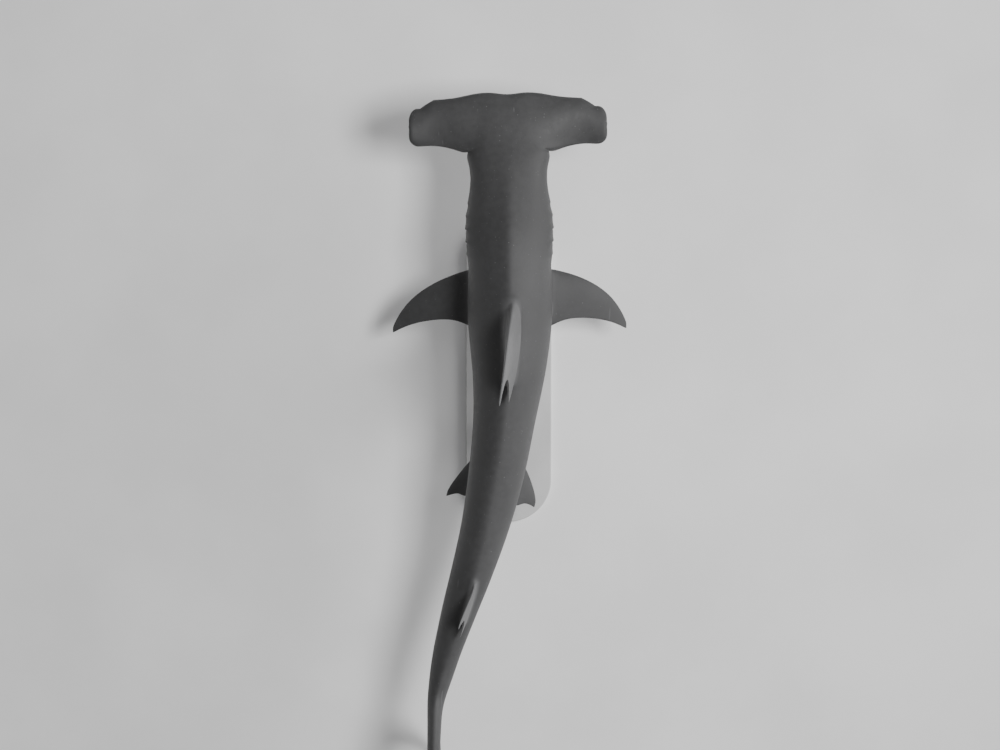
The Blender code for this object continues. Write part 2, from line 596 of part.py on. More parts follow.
def grow_gills(cage):
    for slit in range(len(GILL_TOP_DEGREES)):
        ring = gill_ring(slit)
        for side in (-1, 1):
            grow(cage, FIRST_GILL + slit, 2,
                 lambda at: at.form == 0 and at.across == side * HALF_GRID and at.up in GILL_ROWS
                 and at.ring in (ring, ring + 1))


def grow_fins(cage):
    for number, fin in enumerate(FINS):
        ends = [STATIONS.index(station) for station in fin.base]
        for side in ((-1, 1) if is_paired(fin) else (1,)):
            columns = [(side * across, up) for across, up in fin.columns]
            grow(cage, FIRST_FIN + number, len(fin.spans),
                 lambda at: at.form == 0 and (at.across, at.up) in columns and between(at.ring, ends))


def model_fish():
    """The whole fish as one closed and smoothed mesh."""
    cage = start_cage()
    grow_head(cage)
    grow_gills(cage)
    grow_fins(cage)
    mesh, layers = edit_mesh(cage)
    for vertex in mesh.verts:
        vertex.co = cage_place(label_of(vertex, layers))
    bpy.ops.mesh.select_all(action="SELECT")
    bpy.ops.mesh.normals_make_consistent(inside=False)
    bpy.ops.object.mode_set(mode="OBJECT")
    for name in LAYERS:
        cage.data.attributes.remove(cage.data.attributes[name])
    smoothing = cage.modifiers.new("smoothing", "SUBSURF")
    smoothing.levels = smoothing.render_levels = 1
    bpy.ops.object.modifier_apply(modifier=smoothing.name)
    return cage


def box(name, size, centre, turn=Matrix.Identity(4)):
    """A cutting box of a given size, its axes turned and its centre at a point of the part."""
    bpy.ops.mesh.primitive_cube_add(size=1)
    cutter = bpy.context.object
    cutter.name = name
    cutter.data.transform(Matrix.Translation(centre) @ turn @ Matrix.Diagonal((*size, 1.0)))
    return cutter


def heading_turn(station):
    """A turn that sets a box square to the body's bent axis."""
    ahead = on_fish(station + BEND_STEP, 0, 0) - on_fish(station - BEND_STEP, 0, 0)
    return Matrix.Rotation(-math.atan2(ahead.x, ahead.y), 4, "Z")


def parting_cutters():
    """Thin boxes that part the fish: across the body, and through each root."""
    cutters = []
    for station in BODY_CUTS:
        height = TAIL_CUT_HEIGHT if station == BODY_CUTS[-1] else 0.0
        cutters.append(box("cut_body", (BODY_CUT_SIZE, GAP, BODY_CUT_SIZE), on_fish(station, 0, height),
                           heading_turn(station)))
    for name, (size, place), lean in (("cut_wing", WING_CUT, 0), ("cut_pectoral", PECTORAL_CUT, 0),
                                      ("cut_pelvic", PELVIC_CUT, PELVIC_CUT_LEAN)):
        station, across, height = place
        for side in (-1, 1):
            turn = heading_turn(station) @ Matrix.Rotation(math.radians(side * lean), 4, "Y")
            cutters.append(box(name, size, on_fish(station, side * across, height), turn))
    for name, (size, place, rise) in ROOT_CUTS.items():
        turn = heading_turn(place[0]) @ Matrix.Rotation(math.radians(rise), 4, "X")
        cutters.append(box("cut_" + name, size, on_fish(*place), turn))
    return cutters


def eye_ball(name, side, radius):
    bpy.ops.mesh.primitive_uv_sphere_add(segments=EYE_SEGMENTS, ring_count=EYE_LOOPS, radius=radius)
    ball = bpy.context.object
    ball.name = name
    ball.data.transform(Matrix.Rotation(math.pi / 2, 4, "Y"))
    ball.data.transform(Matrix.Translation(on_fish(EYE_STATION, side * EYE_ACROSS, EYE_HEIGHT)))
    return ball


def cut(target, cutter):
    """Take the cutter away from the target, and put the cutter with the other helpers."""
    difference = target.modifiers.new("cut", "BOOLEAN")
    difference.operation = "DIFFERENCE"
    difference.solver = "EXACT"
    difference.object = cutter
    bpy.context.view_layer.objects.active = target
    bpy.ops.object.modifier_apply(modifier=difference.name)


def put_away(cutter, helpers):
    cutter.hide_render = True
    cutter.display_type = "WIRE"
    move_to(cutter, helpers)


def move_to(thing, collection):
    for old in list(thing.users_collection):
        old.objects.unlink(thing)
    collection.objects.link(thing)


# A point on each piece of the parted fish, which names it: station, across and height.
LANDMARKS = {
    "head": (0.10, 0.0, 0.06), "hammer_left": (0.11, 0.26, 0.03), "hammer_right": (0.11, -0.26, 0.03),
    "gill_region": (0.52, 0.0, 0.155), "trunk_front": (0.72, 0.0, 0.19),
    "trunk_rear": (1.40, 0.0, 0.16), "tail_stock": (2.10, 0.0, 0.08),
    "caudal_upper": (2.70, 0.0, 0.30), "caudal_lower": (2.45, 0.0, -0.28),
    "dorsal_first": (1.0, 0.02, 0.45), "dorsal_second": (1.96, 0.045, 0.22),
    "anal_fin": (1.94, -0.02, -0.18), "pectoral_left": (0.80, 0.33, -0.19),
    "pectoral_right": (0.80, -0.33, -0.19), "pelvic_left": (1.51, 0.15, -0.18),
    "pelvic_right": (1.51, -0.15, -0.18),
}


def material(name, colour, roughness, metallic=0.0):
    made = bpy.data.materials.new(name)
    made.use_nodes = True
    shader = made.node_tree.nodes["Principled BSDF"]
    shader.inputs["Base Color"].default_value = colour
    shader.inputs["Roughness"].default_value = roughness
    shader.inputs["Metallic"].default_value = metallic
    return made


def split_alike(piece):
    """Split every face along its shorter diagonal, so that both faces of a thin fin split alike."""
    mesh = bmesh.new()
    mesh.from_mesh(piece.data)
    bmesh.ops.triangulate(mesh, faces=mesh.faces, quad_method="SHORT_EDGE", ngon_method="BEAUTY")
    mesh.to_mesh(piece.data)
    mesh.free()


def join_flattest(piece):
    """Join the triangles that lie flattest, until the kept share of them is left."""
    thinning = piece.modifiers.new("thinning", "DECIMATE")
    thinning.ratio = KEPT_SHARE
    bpy.context.view_layer.objects.active = piece
    bpy.ops.object.modifier_apply(modifier=thinning.name)


def name_pieces(fish, collection):
    """Separate the parted fish and name each piece by the landmark that it lies closest to."""
    bpy.ops.object.select_all(action="DESELECT")
    fish.select_set(True)
    bpy.context.view_layer.objects.active = fish
    bpy.ops.object.mode_set(mode="EDIT")
    bpy.ops.mesh.select_all(action="SELECT")
    bpy.ops.mesh.separate(type="LOOSE")
    bpy.ops.object.mode_set(mode="OBJECT")
    pieces = list(bpy.context.selected_objects)
    for name, place in LANDMARKS.items():
        mark = on_fish(*place)
        found = min(pieces, key=lambda piece: min((v.co - mark).length for v in piece.data.vertices))
        pieces.remove(found)
        found.name = name
        found.data.name = name
        found.data.materials.clear()
        found.data.materials.append(material(name, SKIN_GREY, 0.45))
        move_to(found, collection)
    for scrap in pieces:
        bpy.data.objects.remove(scrap)


def stand_base(collection):
    """A flat plate with round ends, its top edge broken."""
    half_straight = (STAND_BASE_LENGTH - STAND_BASE_WIDTH) / 2
    bpy.ops.mesh.primitive_cylinder_add(vertices=STAND_BASE_SIDES, radius=STAND_BASE_WIDTH / 2,
                                        depth=STAND_BASE_THICKNESS)
    base = bpy.context.object
    base.name = "stand_base"
    for vertex in base.data.vertices:
        if abs(vertex.co.y) > GAP:
            vertex.co.y += math.copysign(half_straight, vertex.co.y)
        vertex.co.z += STAND_BASE_THICKNESS / 2
    bpy.ops.object.mode_set(mode="EDIT")
    mesh = bmesh.from_edit_mesh(base.data)
    bpy.ops.mesh.select_all(action="DESELECT")
    for edge in mesh.edges:
        edge.select_set(all(vertex.co.z > STAND_BASE_THICKNESS / 2 for vertex in edge.verts)
                        and len(edge.link_faces) == 2
                        and any(len(face.verts) > 4 for face in edge.link_faces))
    bmesh.update_edit_mesh(base.data)
    bpy.ops.mesh.bevel(offset=STAND_BASE_EDGE, segments=2)
    bpy.ops.object.mode_set(mode="OBJECT")
    base.data.materials.append(material("stand_base", BASE_GREY, 0.5))
    move_to(base, collection)


def stand_rod(name, station, carried, collection, helpers):
    """A round rod with a low collar at its foot. Its top is cut to the belly that it carries."""
    foot = on_fish(station, 0, 0)
    foot.z = STAND_BASE_THICKNESS + GAP
    outline = ((STAND_COLLAR_RADIUS, 0.0), (STAND_COLLAR_RADIUS, STAND_COLLAR_HEIGHT),
               (STAND_ROD_RADIUS, STAND_COLLAR_HEIGHT + STAND_COLLAR_SLOPE),
               (STAND_ROD_RADIUS, AXIS_HEIGHT + STAND_ROD_TOP - foot.z))
    bpy.ops.mesh.primitive_circle_add(vertices=STAND_ROD_SIDES, radius=STAND_COLLAR_RADIUS,
                                      fill_type="NGON")
    rod = bpy.context.object
    rod.name = name
    bpy.ops.object.mode_set(mode="EDIT")
    for (radius, height), (last_radius, last_height) in zip(outline[1:], outline):
        bpy.ops.mesh.extrude_region()
        mesh = bmesh.from_edit_mesh(rod.data)
        for vertex in mesh.verts:
            if vertex.select:
                vertex.co.x *= radius / last_radius
                vertex.co.y *= radius / last_radius
                vertex.co.z += height - last_height
    bpy.ops.mesh.select_all(action="SELECT")
    bpy.ops.mesh.normals_make_consistent(inside=False)
    bpy.ops.object.mode_set(mode="OBJECT")
    rod.data.transform(Matrix.Translation(foot))
    belly = carried.copy()
    belly.data = carried.data.copy()
    belly.name = "cut_" + name
    belly.data.transform(Matrix.Translation((0, 0, -GAP)))
    helpers.objects.link(belly)
    cut(rod, belly)
    put_away(belly, helpers)
    rod.data.materials.append(material(name, STEEL_GREY, 0.3, 1.0))
    move_to(rod, collection)


def main():
    for thing in list(bpy.data.objects):
        bpy.data.objects.remove(thing)
    shark = bpy.data.collections.new("hammerhead_shark")
    helpers = bpy.data.collections.new("cutters")
    bpy.context.scene.collection.children.link(shark)
    bpy.context.scene.collection.children.link(helpers)

    fish = model_fish()
    split_alike(fish)
    join_flattest(fish)
    for cutter in parting_cutters():
        cut(fish, cutter)
        put_away(cutter, helpers)
    for side in (-1, 1):
        hollow = eye_ball("cut_eye", side, EYE_RADIUS + GAP)
        cut(fish, hollow)
        put_away(hollow, helpers)
    name_pieces(fish, shark)
    for side, name in ((1, "eye_left"), (-1, "eye_right")):
        ball = eye_ball(name, side, EYE_RADIUS)
        ball.data.materials.append(material(name, EYE_GREY, 0.1))
        move_to(ball, shark)
    stand_base(shark)
    for name, station in STAND_ROD_STATIONS.items():
        carried = bpy.data.objects["trunk_front" if station < BODY_CUTS[2] else "trunk_rear"]
        stand_rod(name, station, carried, shark, helpers)


main()
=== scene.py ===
"""Looks of the great hammerhead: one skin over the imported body, its eyes, and the finish of its stand.

Metres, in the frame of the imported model: +Z up, the head towards -Y, the shark's left side towards
+X. The skin is grown from a small grid by extrusion, as the solids are, then smoothed further.
"""

import math
from collections import namedtuple

import bmesh
import bpy
from mathutils import Matrix, Vector

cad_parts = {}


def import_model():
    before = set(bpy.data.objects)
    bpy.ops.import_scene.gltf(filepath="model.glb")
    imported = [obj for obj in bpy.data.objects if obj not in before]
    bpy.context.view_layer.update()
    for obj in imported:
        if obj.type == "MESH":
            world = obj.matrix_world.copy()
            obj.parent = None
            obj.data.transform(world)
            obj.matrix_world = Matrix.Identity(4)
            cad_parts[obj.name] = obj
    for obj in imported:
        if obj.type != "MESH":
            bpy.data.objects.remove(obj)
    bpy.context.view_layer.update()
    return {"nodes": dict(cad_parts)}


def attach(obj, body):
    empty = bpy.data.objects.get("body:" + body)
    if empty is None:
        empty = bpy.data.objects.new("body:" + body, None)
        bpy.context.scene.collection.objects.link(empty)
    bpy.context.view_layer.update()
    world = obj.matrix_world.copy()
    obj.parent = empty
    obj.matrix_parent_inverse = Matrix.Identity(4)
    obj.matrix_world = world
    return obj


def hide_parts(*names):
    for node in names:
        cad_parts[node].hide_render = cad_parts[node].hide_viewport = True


# The shark's own sizes, the same as its solids have.
AXIS_HEIGHT = 0.48
SNOUT_Y = -1.047
BEND_STEP = 0.02   # how far before and behind a station the axis's heading is read

# The bent axis and the body's outline, as (station, value) points on smooth curves.
MIDLINE = ((0.0, 0.006), (0.33, 0.001), (0.78, -0.004), (1.0, -0.002), (1.15, 0.009), (1.39, 0.040),
           (1.62, 0.086), (1.80, 0.138), (1.98, 0.196), (2.16, 0.247), (2.34, 0.279), (2.60, 0.281),
           (3.08, 0.262))
ROLL_DEGREES = ((1.56, 0.0), (1.73, 8.0), (1.86, 14.0), (2.0, 17.0), (2.12, 12.0), (2.28, 0.0))
HALF_WIDTH = ((0.0, 0.118), (0.07, 0.130), (0.207, 0.148), (0.240, 0.160), (0.28, 0.146),
              (0.339, 0.144), (0.40, 0.153), (0.50, 0.165), (0.57, 0.163), (0.66, 0.157), (0.78, 0.162),
              (0.87, 0.159), (0.956, 0.151), (1.10, 0.133), (1.24, 0.117), (1.39, 0.1085),
              (1.57, 0.0960), (1.74, 0.0825), (1.90, 0.0690), (2.05, 0.0555), (2.18, 0.046),
              (2.27, 0.035), (2.34, 0.028), (2.47, 0.024), (2.60, 0.019), (2.80, 0.013),
              (2.95, 0.008), (3.08, 0.004))
TOP_EDGE = ((0.0, 0.036), (0.035, 0.043), (0.105, 0.059), (0.207, 0.078), (0.279, 0.095), (0.40, 0.125),
            (0.50, 0.152), (0.62, 0.177), (0.78, 0.205), (0.95, 0.213), (1.10, 0.201), (1.25, 0.182),
            (1.40, 0.162), (1.57, 0.139), (1.74, 0.118), (1.90, 0.100), (2.05, 0.085), (2.20, 0.070),
            (2.27, 0.068), (2.35, 0.104), (2.50, 0.197), (2.70, 0.318), (2.90, 0.436), (3.08, 0.540))
LOW_EDGE = ((0.0, -0.036), (0.035, -0.040), (0.105, -0.052), (0.207, -0.066), (0.279, -0.084),
            (0.40, -0.118), (0.50, -0.143), (0.62, -0.165), (0.78, -0.185), (0.95, -0.192),
            (1.10, -0.182), (1.25, -0.166), (1.40, -0.149), (1.57, -0.129), (1.74, -0.110),
            (1.90, -0.093), (2.05, -0.077), (2.20, -0.062), (2.28, -0.058), (2.37, -0.052),
            (2.45, -0.022), (2.53, 0.040), (2.65, 0.134), (2.78, 0.238), (2.865, 0.308), (2.893, 0.360),
            (2.915, 0.386), (2.945, 0.372), (2.985, 0.396), (3.08, 0.520))
WIDEST_HEIGHT = ((0.0, 0.0), (2.15, 0.0), (2.27, 0.008), (2.37, 0.050), (2.50, 0.145), (2.70, 0.271),
                 (2.90, 0.398), (3.08, 0.529))
BACK_RIDGE = ((0.15, 0.0), (0.30, 0.006), (0.60, 0.009), (0.78, 0.004), (0.95, 0.0))

# How square or keen the body's section is: powers of the sine and cosine round it, below 1 square.
WIDTH_POWER_ABOVE = ((0.0, 0.62), (0.20, 0.72), (0.32, 1.0), (0.45, 1.22), (0.8, 1.28), (1.3, 1.12),
                     (2.2, 1.05), (2.6, 0.9))
WIDTH_POWER_BELOW = ((0.0, 0.60), (0.22, 0.62), (0.45, 0.8), (0.8, 0.86), (2.2, 0.95), (2.45, 2.2),
                     (2.8, 2.4), (3.08, 1.2))
HEIGHT_POWER = ((0.0, 0.55), (0.20, 0.66), (0.32, 0.80), (0.45, 0.88), (0.8, 0.95), (2.2, 1.0))
CAGE_SWELL = 1.024   # the smoothed surface lies this much inside its cage

# The head's wings, as (distance across, station) points along the front and the rear edge.
HEAD_FRONT = ((0.0, 0.012), (0.03, 0.006), (0.066, -0.002), (0.126, 0.004), (0.177, 0.015),
              (0.217, 0.021), (0.27, 0.024), (0.288, 0.0265), (0.304, 0.038), (0.327, 0.058),
              (0.350, 0.0545), (0.366, 0.070), (0.376, 0.098))
HEAD_REAR = ((0.0, 0.207), (0.143, 0.216), (0.166, 0.230), (0.187, 0.221), (0.217, 0.210),
             (0.251, 0.203), (0.291, 0.199), (0.345, 0.202), (0.362, 0.197), (0.376, 0.17))
WING_THICKNESS = ((0.16, 0.098), (0.21, 0.083), (0.27, 0.070), (0.33, 0.064), (0.38, 0.062))
WING_ACROSS = (0.166, 0.208, 0.248, 0.280, 0.304, 0.327, 0.350, 0.369)
WING_SHARES = (0.11, 0.29, 0.48, 0.68, 0.87)
WING_END_SHARES = (0.14, 0.40, 0.66, 0.82, 0.93)
HEAD_STATIONS = (0.0, 0.035, 0.070, 0.105, 0.139, 0.173, 0.207)

NECK_STATIONS = (0.240, 0.281, 0.336, 0.394)
GILL_STATIONS = (0.448, 0.497, 0.546, 0.595, 0.642)
CHEST_STATIONS = (0.663, 0.72, 0.783, 0.834, 0.888)
BACK_STATIONS = (0.955, 1.027, 1.099)
BELLY_STATIONS = (1.167, 1.235, 1.303)
PELVIC_STATIONS = (1.367, 1.412, 1.455, 1.50)
REAR_STATIONS = (1.574, 1.657, 1.74)
SECOND_FIN_STATIONS = (1.822, 1.861, 1.901, 1.940, 1.980)
STALK_STATIONS = (2.048, 2.118, 2.186, 2.24, 2.272)
LOWER_LOBE_STATIONS = (2.302, 2.338, 2.374, 2.412, 2.450)
UPPER_LOBE_STATIONS = (2.51, 2.60, 2.70, 2.79, 2.85, 2.880, 2.903, 2.935, 2.975, 3.03, 3.078)
STATIONS = (HEAD_STATIONS + NECK_STATIONS + GILL_STATIONS + CHEST_STATIONS + BACK_STATIONS
            + BELLY_STATIONS + PELVIC_STATIONS + REAR_STATIONS + SECOND_FIN_STATIONS + STALK_STATIONS
            + LOWER_LOBE_STATIONS + UPPER_LOBE_STATIONS)

# The cage has four faces across and four up. These are its corner-to-corner columns, in degrees
# from straight up, for the left half; the right half mirrors them.
HALF_GRID = 2
COLUMN_DEGREES = {(0, 2): 0, (1, 2): 17, (2, 2): 38, (2, 1): 63, (2, 0): 90, (2, -1): 112,
                  (2, -2): 138, (1, -2): 165, (0, -2): 180}

SNOUT_HALF_ACROSS = 0.124
SNOUT_HALF_THICKNESS = 0.034
SNOUT_ROUNDING = 0.012
TAIL_TIP_ROUNDING = 0.006
WING_NOSE_ROUNDING = 0.07
WING_NOSE_BLUNTNESS = 0.62
WING_HEEL_ROUNDING = 0.04
WING_END_POWER = 3   # how late along the wing its columns move to their places at its end
WING_HEEL_BLUNTNESS = ((0.166, 0.72), (0.208, 0.36), (0.26, 0.13), (0.33, 0.16), (0.369, 0.36))
WING_FULLNESS = ((0.166, 0.9), (0.208, 0.45), (0.26, 0.10), (0.33, 0.35), (0.369, 1.0))

# Sections along the chord: a fin's, from the root and the powers of the share of the chord, and a
# blunt one for the head's wings.
FOIL_ROOT = 0.2969
FOIL_POWERS = (-0.126, -0.3516, 0.2843, -0.1015)
FOIL_SCALE = 9.9
BLUNT_POWER = 0.4

# The eye, and the loops of its lids: the skin round them, their foot, crest and inner edge.
EYE_STATION = 0.125
EYE_ACROSS = 0.3560
EYE_HEIGHT = -0.001
EYE_RADIUS = 0.0190
EYE_SEGMENTS = 64
EYE_LOOPS = 40
EYE_RINGS = (1, 3)
LID_SKIN_RADIUS = 0.0275
LID_RADII = (0.0225, 0.0192, 0.0163)
LID_ACROSS = (0.3710, 0.3735, 0.3700)
SOCKET_ACROSS = 0.352
WING_END = 0.3735

NOSTRIL_LEVELS = (4, 5, 6)
NOSTRIL_ACROSS = 0.306
NOSTRIL_HALF_LENGTH = 0.023
NOSTRIL_HALF_HEIGHT = 0.0058
NOSTRIL_RIM = 1.25
NOSTRIL_POCKET = 0.9
NOSTRIL_END_HEIGHT = 0.15
NOSTRIL_DEPTH = 0.016

MOUTH_RINGS = (5, 7)
MOUTH_FRONT = 0.150
MOUTH_CORNER = 0.218
MOUTH_HALF_WIDTH = 0.104
MOUTH_ARCH_POWER = 2.2
LIP_WIDTH = 0.010
LIP_PROUD = 0.0045
LIP_EDGE_PROUD = 0.0028
MOUTH_HALF_OPENING = 0.0028
MOUTH_DEPTH = 0.015

# Each gill slit runs down the side behind a flap with a free edge, from the first slit to the last.
# Its rows are at these shares of its length.
GILL_ROWS = {1: 0.0, 0: 0.33, -1: 0.67, -2: 1.0}
GILL_TOP_DEGREES = (91, 85, 77, 77, 87)
GILL_BOTTOM_DEGREES = (126, 125, 124, 121, 116)
GILL_SLANT = 0.012
GILL_BOW = 0.006
GILL_DEPTH = 0.012
GILL_FLAP_PROUD = 0.0055
GILL_HALF_OPENING = 0.0035
GILL_END_OPENING = 0.35
# How far along a half wave the slit's strength starts and ends, and how many half openings its front
# and rear edge lie behind its middle, at the skin and at its floor.
GILL_WAVE = (0.1, 0.9)
GILL_EDGES = (0.6, 2.0)
GILL_FLOOR_EDGES = (-1.1, 0.1)

TRAILING_EDGE = 0.0035
FIN_STEP = 0.004   # how far along the span a fin's lean is read
NOSE_SHARE = 0.045
TAIL_SHARE = 0.955

# A fin's edges are (span, station) curves. Its middle runs across and up with the span, from the
# axis, and its base covers these faces of the cage: first and last station, and columns.
# The fins of a pair swing by so much for each metre of span, back on the left and forward on the
# right, and their bias, counted in swings, shifts both the same way.
Fin = namedtuple("Fin", "base columns spans front rear across up thickness swing swing_bias",
                 defaults=(0.0, 0.0))

# The columns under a fin on the back, the belly or a side, and the straight runs of a fin's middle.
BACK_COLUMNS = ((-1, 2), (0, 2), (1, 2))
BELLY_COLUMNS = ((-1, -2), (0, -2), (1, -2))
SIDE_COLUMNS = ((2, -1), (2, -2), (1, -2))
STRAIGHT = ((0.0, 0.0), (1.0, 1.0))
STRAIGHT_DOWN = ((0.0, 0.0), (1.0, -1.0))

FIRST_DORSAL = Fin(
    base=(0.783, 1.099), columns=BACK_COLUMNS,
    spans=(0.226, 0.246, 0.285, 0.345, 0.415, 0.49, 0.56, 0.615, 0.655, 0.672),
    front=((0.21, 0.785), (0.26, 0.812), (0.31, 0.842), (0.41, 0.905), (0.51, 0.978), (0.59, 1.052),
           (0.64, 1.112), (0.675, 1.166)),
    rear=((0.21, 1.100), (0.228, 1.125), (0.246, 1.198), (0.262, 1.158), (0.29, 1.115), (0.33, 1.092),
          (0.41, 1.083), (0.51, 1.098), (0.59, 1.128), (0.64, 1.156), (0.675, 1.180)),
    across=((0.21, -0.012), (0.26, -0.007), (0.4, 0.004), (0.675, 0.025)),
    up=STRAIGHT,
    thickness=((0.21, 0.078), (0.246, 0.058), (0.30, 0.042), (0.40, 0.028), (0.52, 0.017),
               (0.675, 0.006)))

SECOND_DORSAL = Fin(
    base=(1.822, 1.980), columns=BACK_COLUMNS,
    spans=(0.118, 0.135, 0.165, 0.205, 0.25, 0.285, 0.302),
    front=((0.10, 1.822), (0.15, 1.854), (0.20, 1.890), (0.25, 1.930), (0.30, 1.974)),
    rear=((0.10, 1.980), (0.118, 1.998), (0.135, 2.052), (0.150, 2.016), (0.175, 1.972), (0.21, 1.957),
          (0.26, 1.966), (0.305, 1.988)),
    across=((0.10, 0.0), (0.15, 0.012), (0.30, 0.078)),
    up=STRAIGHT,
    thickness=((0.10, 0.026), (0.14, 0.018), (0.2, 0.012), (0.305, 0.005)))

ANAL_FIN = Fin(
    base=(1.822, 1.980), columns=BELLY_COLUMNS,
    spans=(0.108, 0.124, 0.150, 0.185, 0.225, 0.245),
    front=((0.09, 1.822), (0.13, 1.858), (0.18, 1.915), (0.22, 1.972), (0.246, 2.020)),
    rear=((0.09, 1.980), (0.108, 1.994), (0.124, 2.050), (0.138, 2.008), (0.155, 1.968), (0.18, 1.960),
          (0.22, 1.998), (0.247, 2.034)),
    across=((0.09, 0.0), (0.14, -0.006), (0.25, -0.040)),
    up=STRAIGHT_DOWN,
    thickness=((0.09, 0.024), (0.13, 0.016), (0.19, 0.010), (0.25, 0.005)))

PECTORAL = Fin(
    base=(0.663, 0.888), columns=SIDE_COLUMNS,
    spans=(0.150, 0.196, 0.250, 0.308, 0.360, 0.404, 0.438, 0.453),
    front=((0.154, 0.655), (0.215, 0.675), (0.27, 0.695), (0.32, 0.721), (0.362, 0.750), (0.398, 0.783),
           (0.43, 0.827), (0.455, 0.882)),
    rear=((0.154, 0.886), (0.175, 0.876), (0.198, 0.860), (0.235, 0.853), (0.28, 0.854), (0.335, 0.861),
          (0.385, 0.872), (0.425, 0.888), (0.456, 0.904)),
    across=STRAIGHT,
    up=((0.14, -0.134), (0.20, -0.146), (0.30, -0.179), (0.38, -0.219), (0.455, -0.265)),
    thickness=((0.14, 0.050), (0.20, 0.034), (0.30, 0.023), (0.40, 0.012), (0.45, 0.006)),
    swing=0.042, swing_bias=-0.6)

PELVIC = Fin(
    base=(1.367, 1.50), columns=SIDE_COLUMNS,
    spans=(0.086, 0.104, 0.126, 0.147, 0.162, 0.170),
    front=((0.07, 1.372), (0.105, 1.402), (0.1235, 1.434), (0.140, 1.466), (0.157, 1.498),
           (0.173, 1.546)),
    rear=((0.07, 1.503), (0.086, 1.545), (0.096, 1.562), (0.110, 1.546), (0.125, 1.541), (0.148, 1.549),
          (0.165, 1.558), (0.174, 1.565)),
    across=STRAIGHT,
    up=((0.07, -0.117), (0.11, -0.147), (0.174, -0.196)),
    thickness=((0.07, 0.030), (0.10, 0.018), (0.14, 0.011), (0.174, 0.005)),
    swing=0.175, swing_bias=-0.41)

LOWER_LOBE = Fin(
    base=(2.302, 2.450), columns=BELLY_COLUMNS,
    spans=(0.092, 0.135, 0.185, 0.24, 0.295, 0.35, 0.395, 0.42),
    front=((0.05, 2.290), (0.12, 2.325), (0.20, 2.374), (0.30, 2.446), (0.38, 2.512), (0.422, 2.556)),
    rear=((0.03, 2.462), (0.07, 2.448), (0.12, 2.445), (0.20, 2.462), (0.30, 2.500), (0.38, 2.540),
          (0.422, 2.566)),
    across=((0.0, 0.0), (0.1, 0.0), (0.43, -0.012)),
    up=STRAIGHT_DOWN,
    thickness=((0.06, 0.034), (0.14, 0.024), (0.28, 0.015), (0.422, 0.006)))

FLESH = ("head", "hammer_left", "hammer_right", "gill_region", "trunk_front", "trunk_rear", "tail_stock",
         "caudal_upper", "caudal_lower", "dorsal_first", "dorsal_second", "anal_fin", "pectoral_left",
         "pectoral_right", "pelvic_left", "pelvic_right")
SKIN_SMOOTHING = 2

# Folds of the skin that only the scene has: round the eyes, and at the corners of the mouth.
LID_FOLD_RADIUS = 0.0243
LID_FOLD_WIDTH = 0.0017
LID_FOLD_DEPTH = 0.0016
LID_FOLD_ABOVE = 0.35   # the share of its depth that the fold has above the eye
LID_FOLD_REACH = 0.044
FURROW_LENGTH = 0.030
FURROW_WIDTH = 0.0035
FURROW_DEPTH = 0.0022
FURROW_SLOPE = 0.5

# How pale the skin is: 0 is the dark back and 1 the pale belly. By the cage's row down the side, by
# the column through a paired fin, on the single fins below, and what is left of it along the tail.
BODY_PALENESS = {2: 0.0, 1: 0.0, 0: 0.26, -1: 0.62, -2: 1.0}
WING_PALENESS = {2: 0.0, 1: 0.05, 0: 0.35, -1: 0.9, -2: 1.0}
PAIRED_FIN_PALENESS = (0.0, 0.4, 1.0)
LOW_FIN_PALENESS = 0.45
TAIL_FADING = ((2.0, 1.0), (2.45, 0.25))

# Where the pores of the head thin out, by station, and how much painted shade the edges of the hollows
# get.
HEAD_FADING = ((0.20, 1.0), (0.42, 0.0))
SOCKET_EDGE_SHADE = 0.5
SLIT_EDGE_SHADE = 0.15
MOUTH_EDGE_SHADE = 0.3

# Greys of the skin and eyes, as linear values.
BACK_GREY = 0.055
# The dorsal fins' grey is painted light: paler than the back's, for the light that falls on their faces.
DORSAL_PAINTED_LIGHT_GREY = 0.125
BELLY_GREY = 0.42
# Painted shade: the near black of the floors of the nostrils, gill slits, mouth and eye sockets.
HOLLOW_SHADE_GREY = 0.012
PALE_MARK_GREY = 0.30
PORE_GREY = 0.02
SKIN_BLUE = 1.02   # the skin's blue beside its red and green
IRIS_GREY = 0.12
PUPIL_GREY = 0.004
EYE_RIM_GREY = 0.010

# Cloudy marks in a finish: how many to a metre, how many finer layers they have, and how strong
# these are. Most of their values lie within the span, and nearly all within the wide one.
Marks = namedtuple("Marks", "per_metre layers strength")
MARK_SPAN = (0.3, 0.7)
WIDE_MARK_SPAN = (0.25, 0.75)
SKIN_CLOUDS = Marks(3.5, 3.0, 0.5)
SKIN_MOTTLE = Marks(42.0, 6.0, 0.6)
SKIN_GRAIN = Marks(260.0, 3.0, 0.6)

# The skin's border between dark and pale: how far the marks push it, and where it starts and ends.
BORDER_BY_CLOUDS = 0.30
BORDER_BY_MOTTLE = 0.12
BORDER_SPAN = (0.46, 1.02)
TIP_SPAN = (0.75, 1.0)   # where along a fin its pale face darkens
TIP_PALENESS = 0.35

# How far the marks change a grey, as factors of it, and the roughness and height of the skin.
BACK_BY_CLOUDS = (0.88, 1.12)
BACK_BY_MOTTLE = (0.93, 1.07)
BELLY_BY_MOTTLE = (0.92, 1.06)
# How deep in a hollow its painted shade starts, and where it is full.
HOLLOW_SHADE_SPAN = (0.25, 0.9)
SKIN_SHINE = 0.3
SKIN_ROUGHNESS = (0.50, 0.60)
SKIN_RELIEF = 0.5
GRAIN_HEIGHT = 0.0003
MOTTLE_HEIGHT = 0.0007
PORE_DEPTH = 0.0006

# Round specks: cells to a metre, a speck's radius in cells, and the share of cells that have one.
Specks = namedtuple("Specks", "per_metre radius share")
PALE_SPECKS = (Specks(60.0, 0.15, 0.14), Specks(110.0, 0.18, 0.12))
PORES = Specks(130.0, 0.22, 0.3)
SPECK_CORE = 0.4   # the share of its radius within which a speck is full
SPECK_STRENGTH = 0.30
PORE_STRENGTH = 0.5

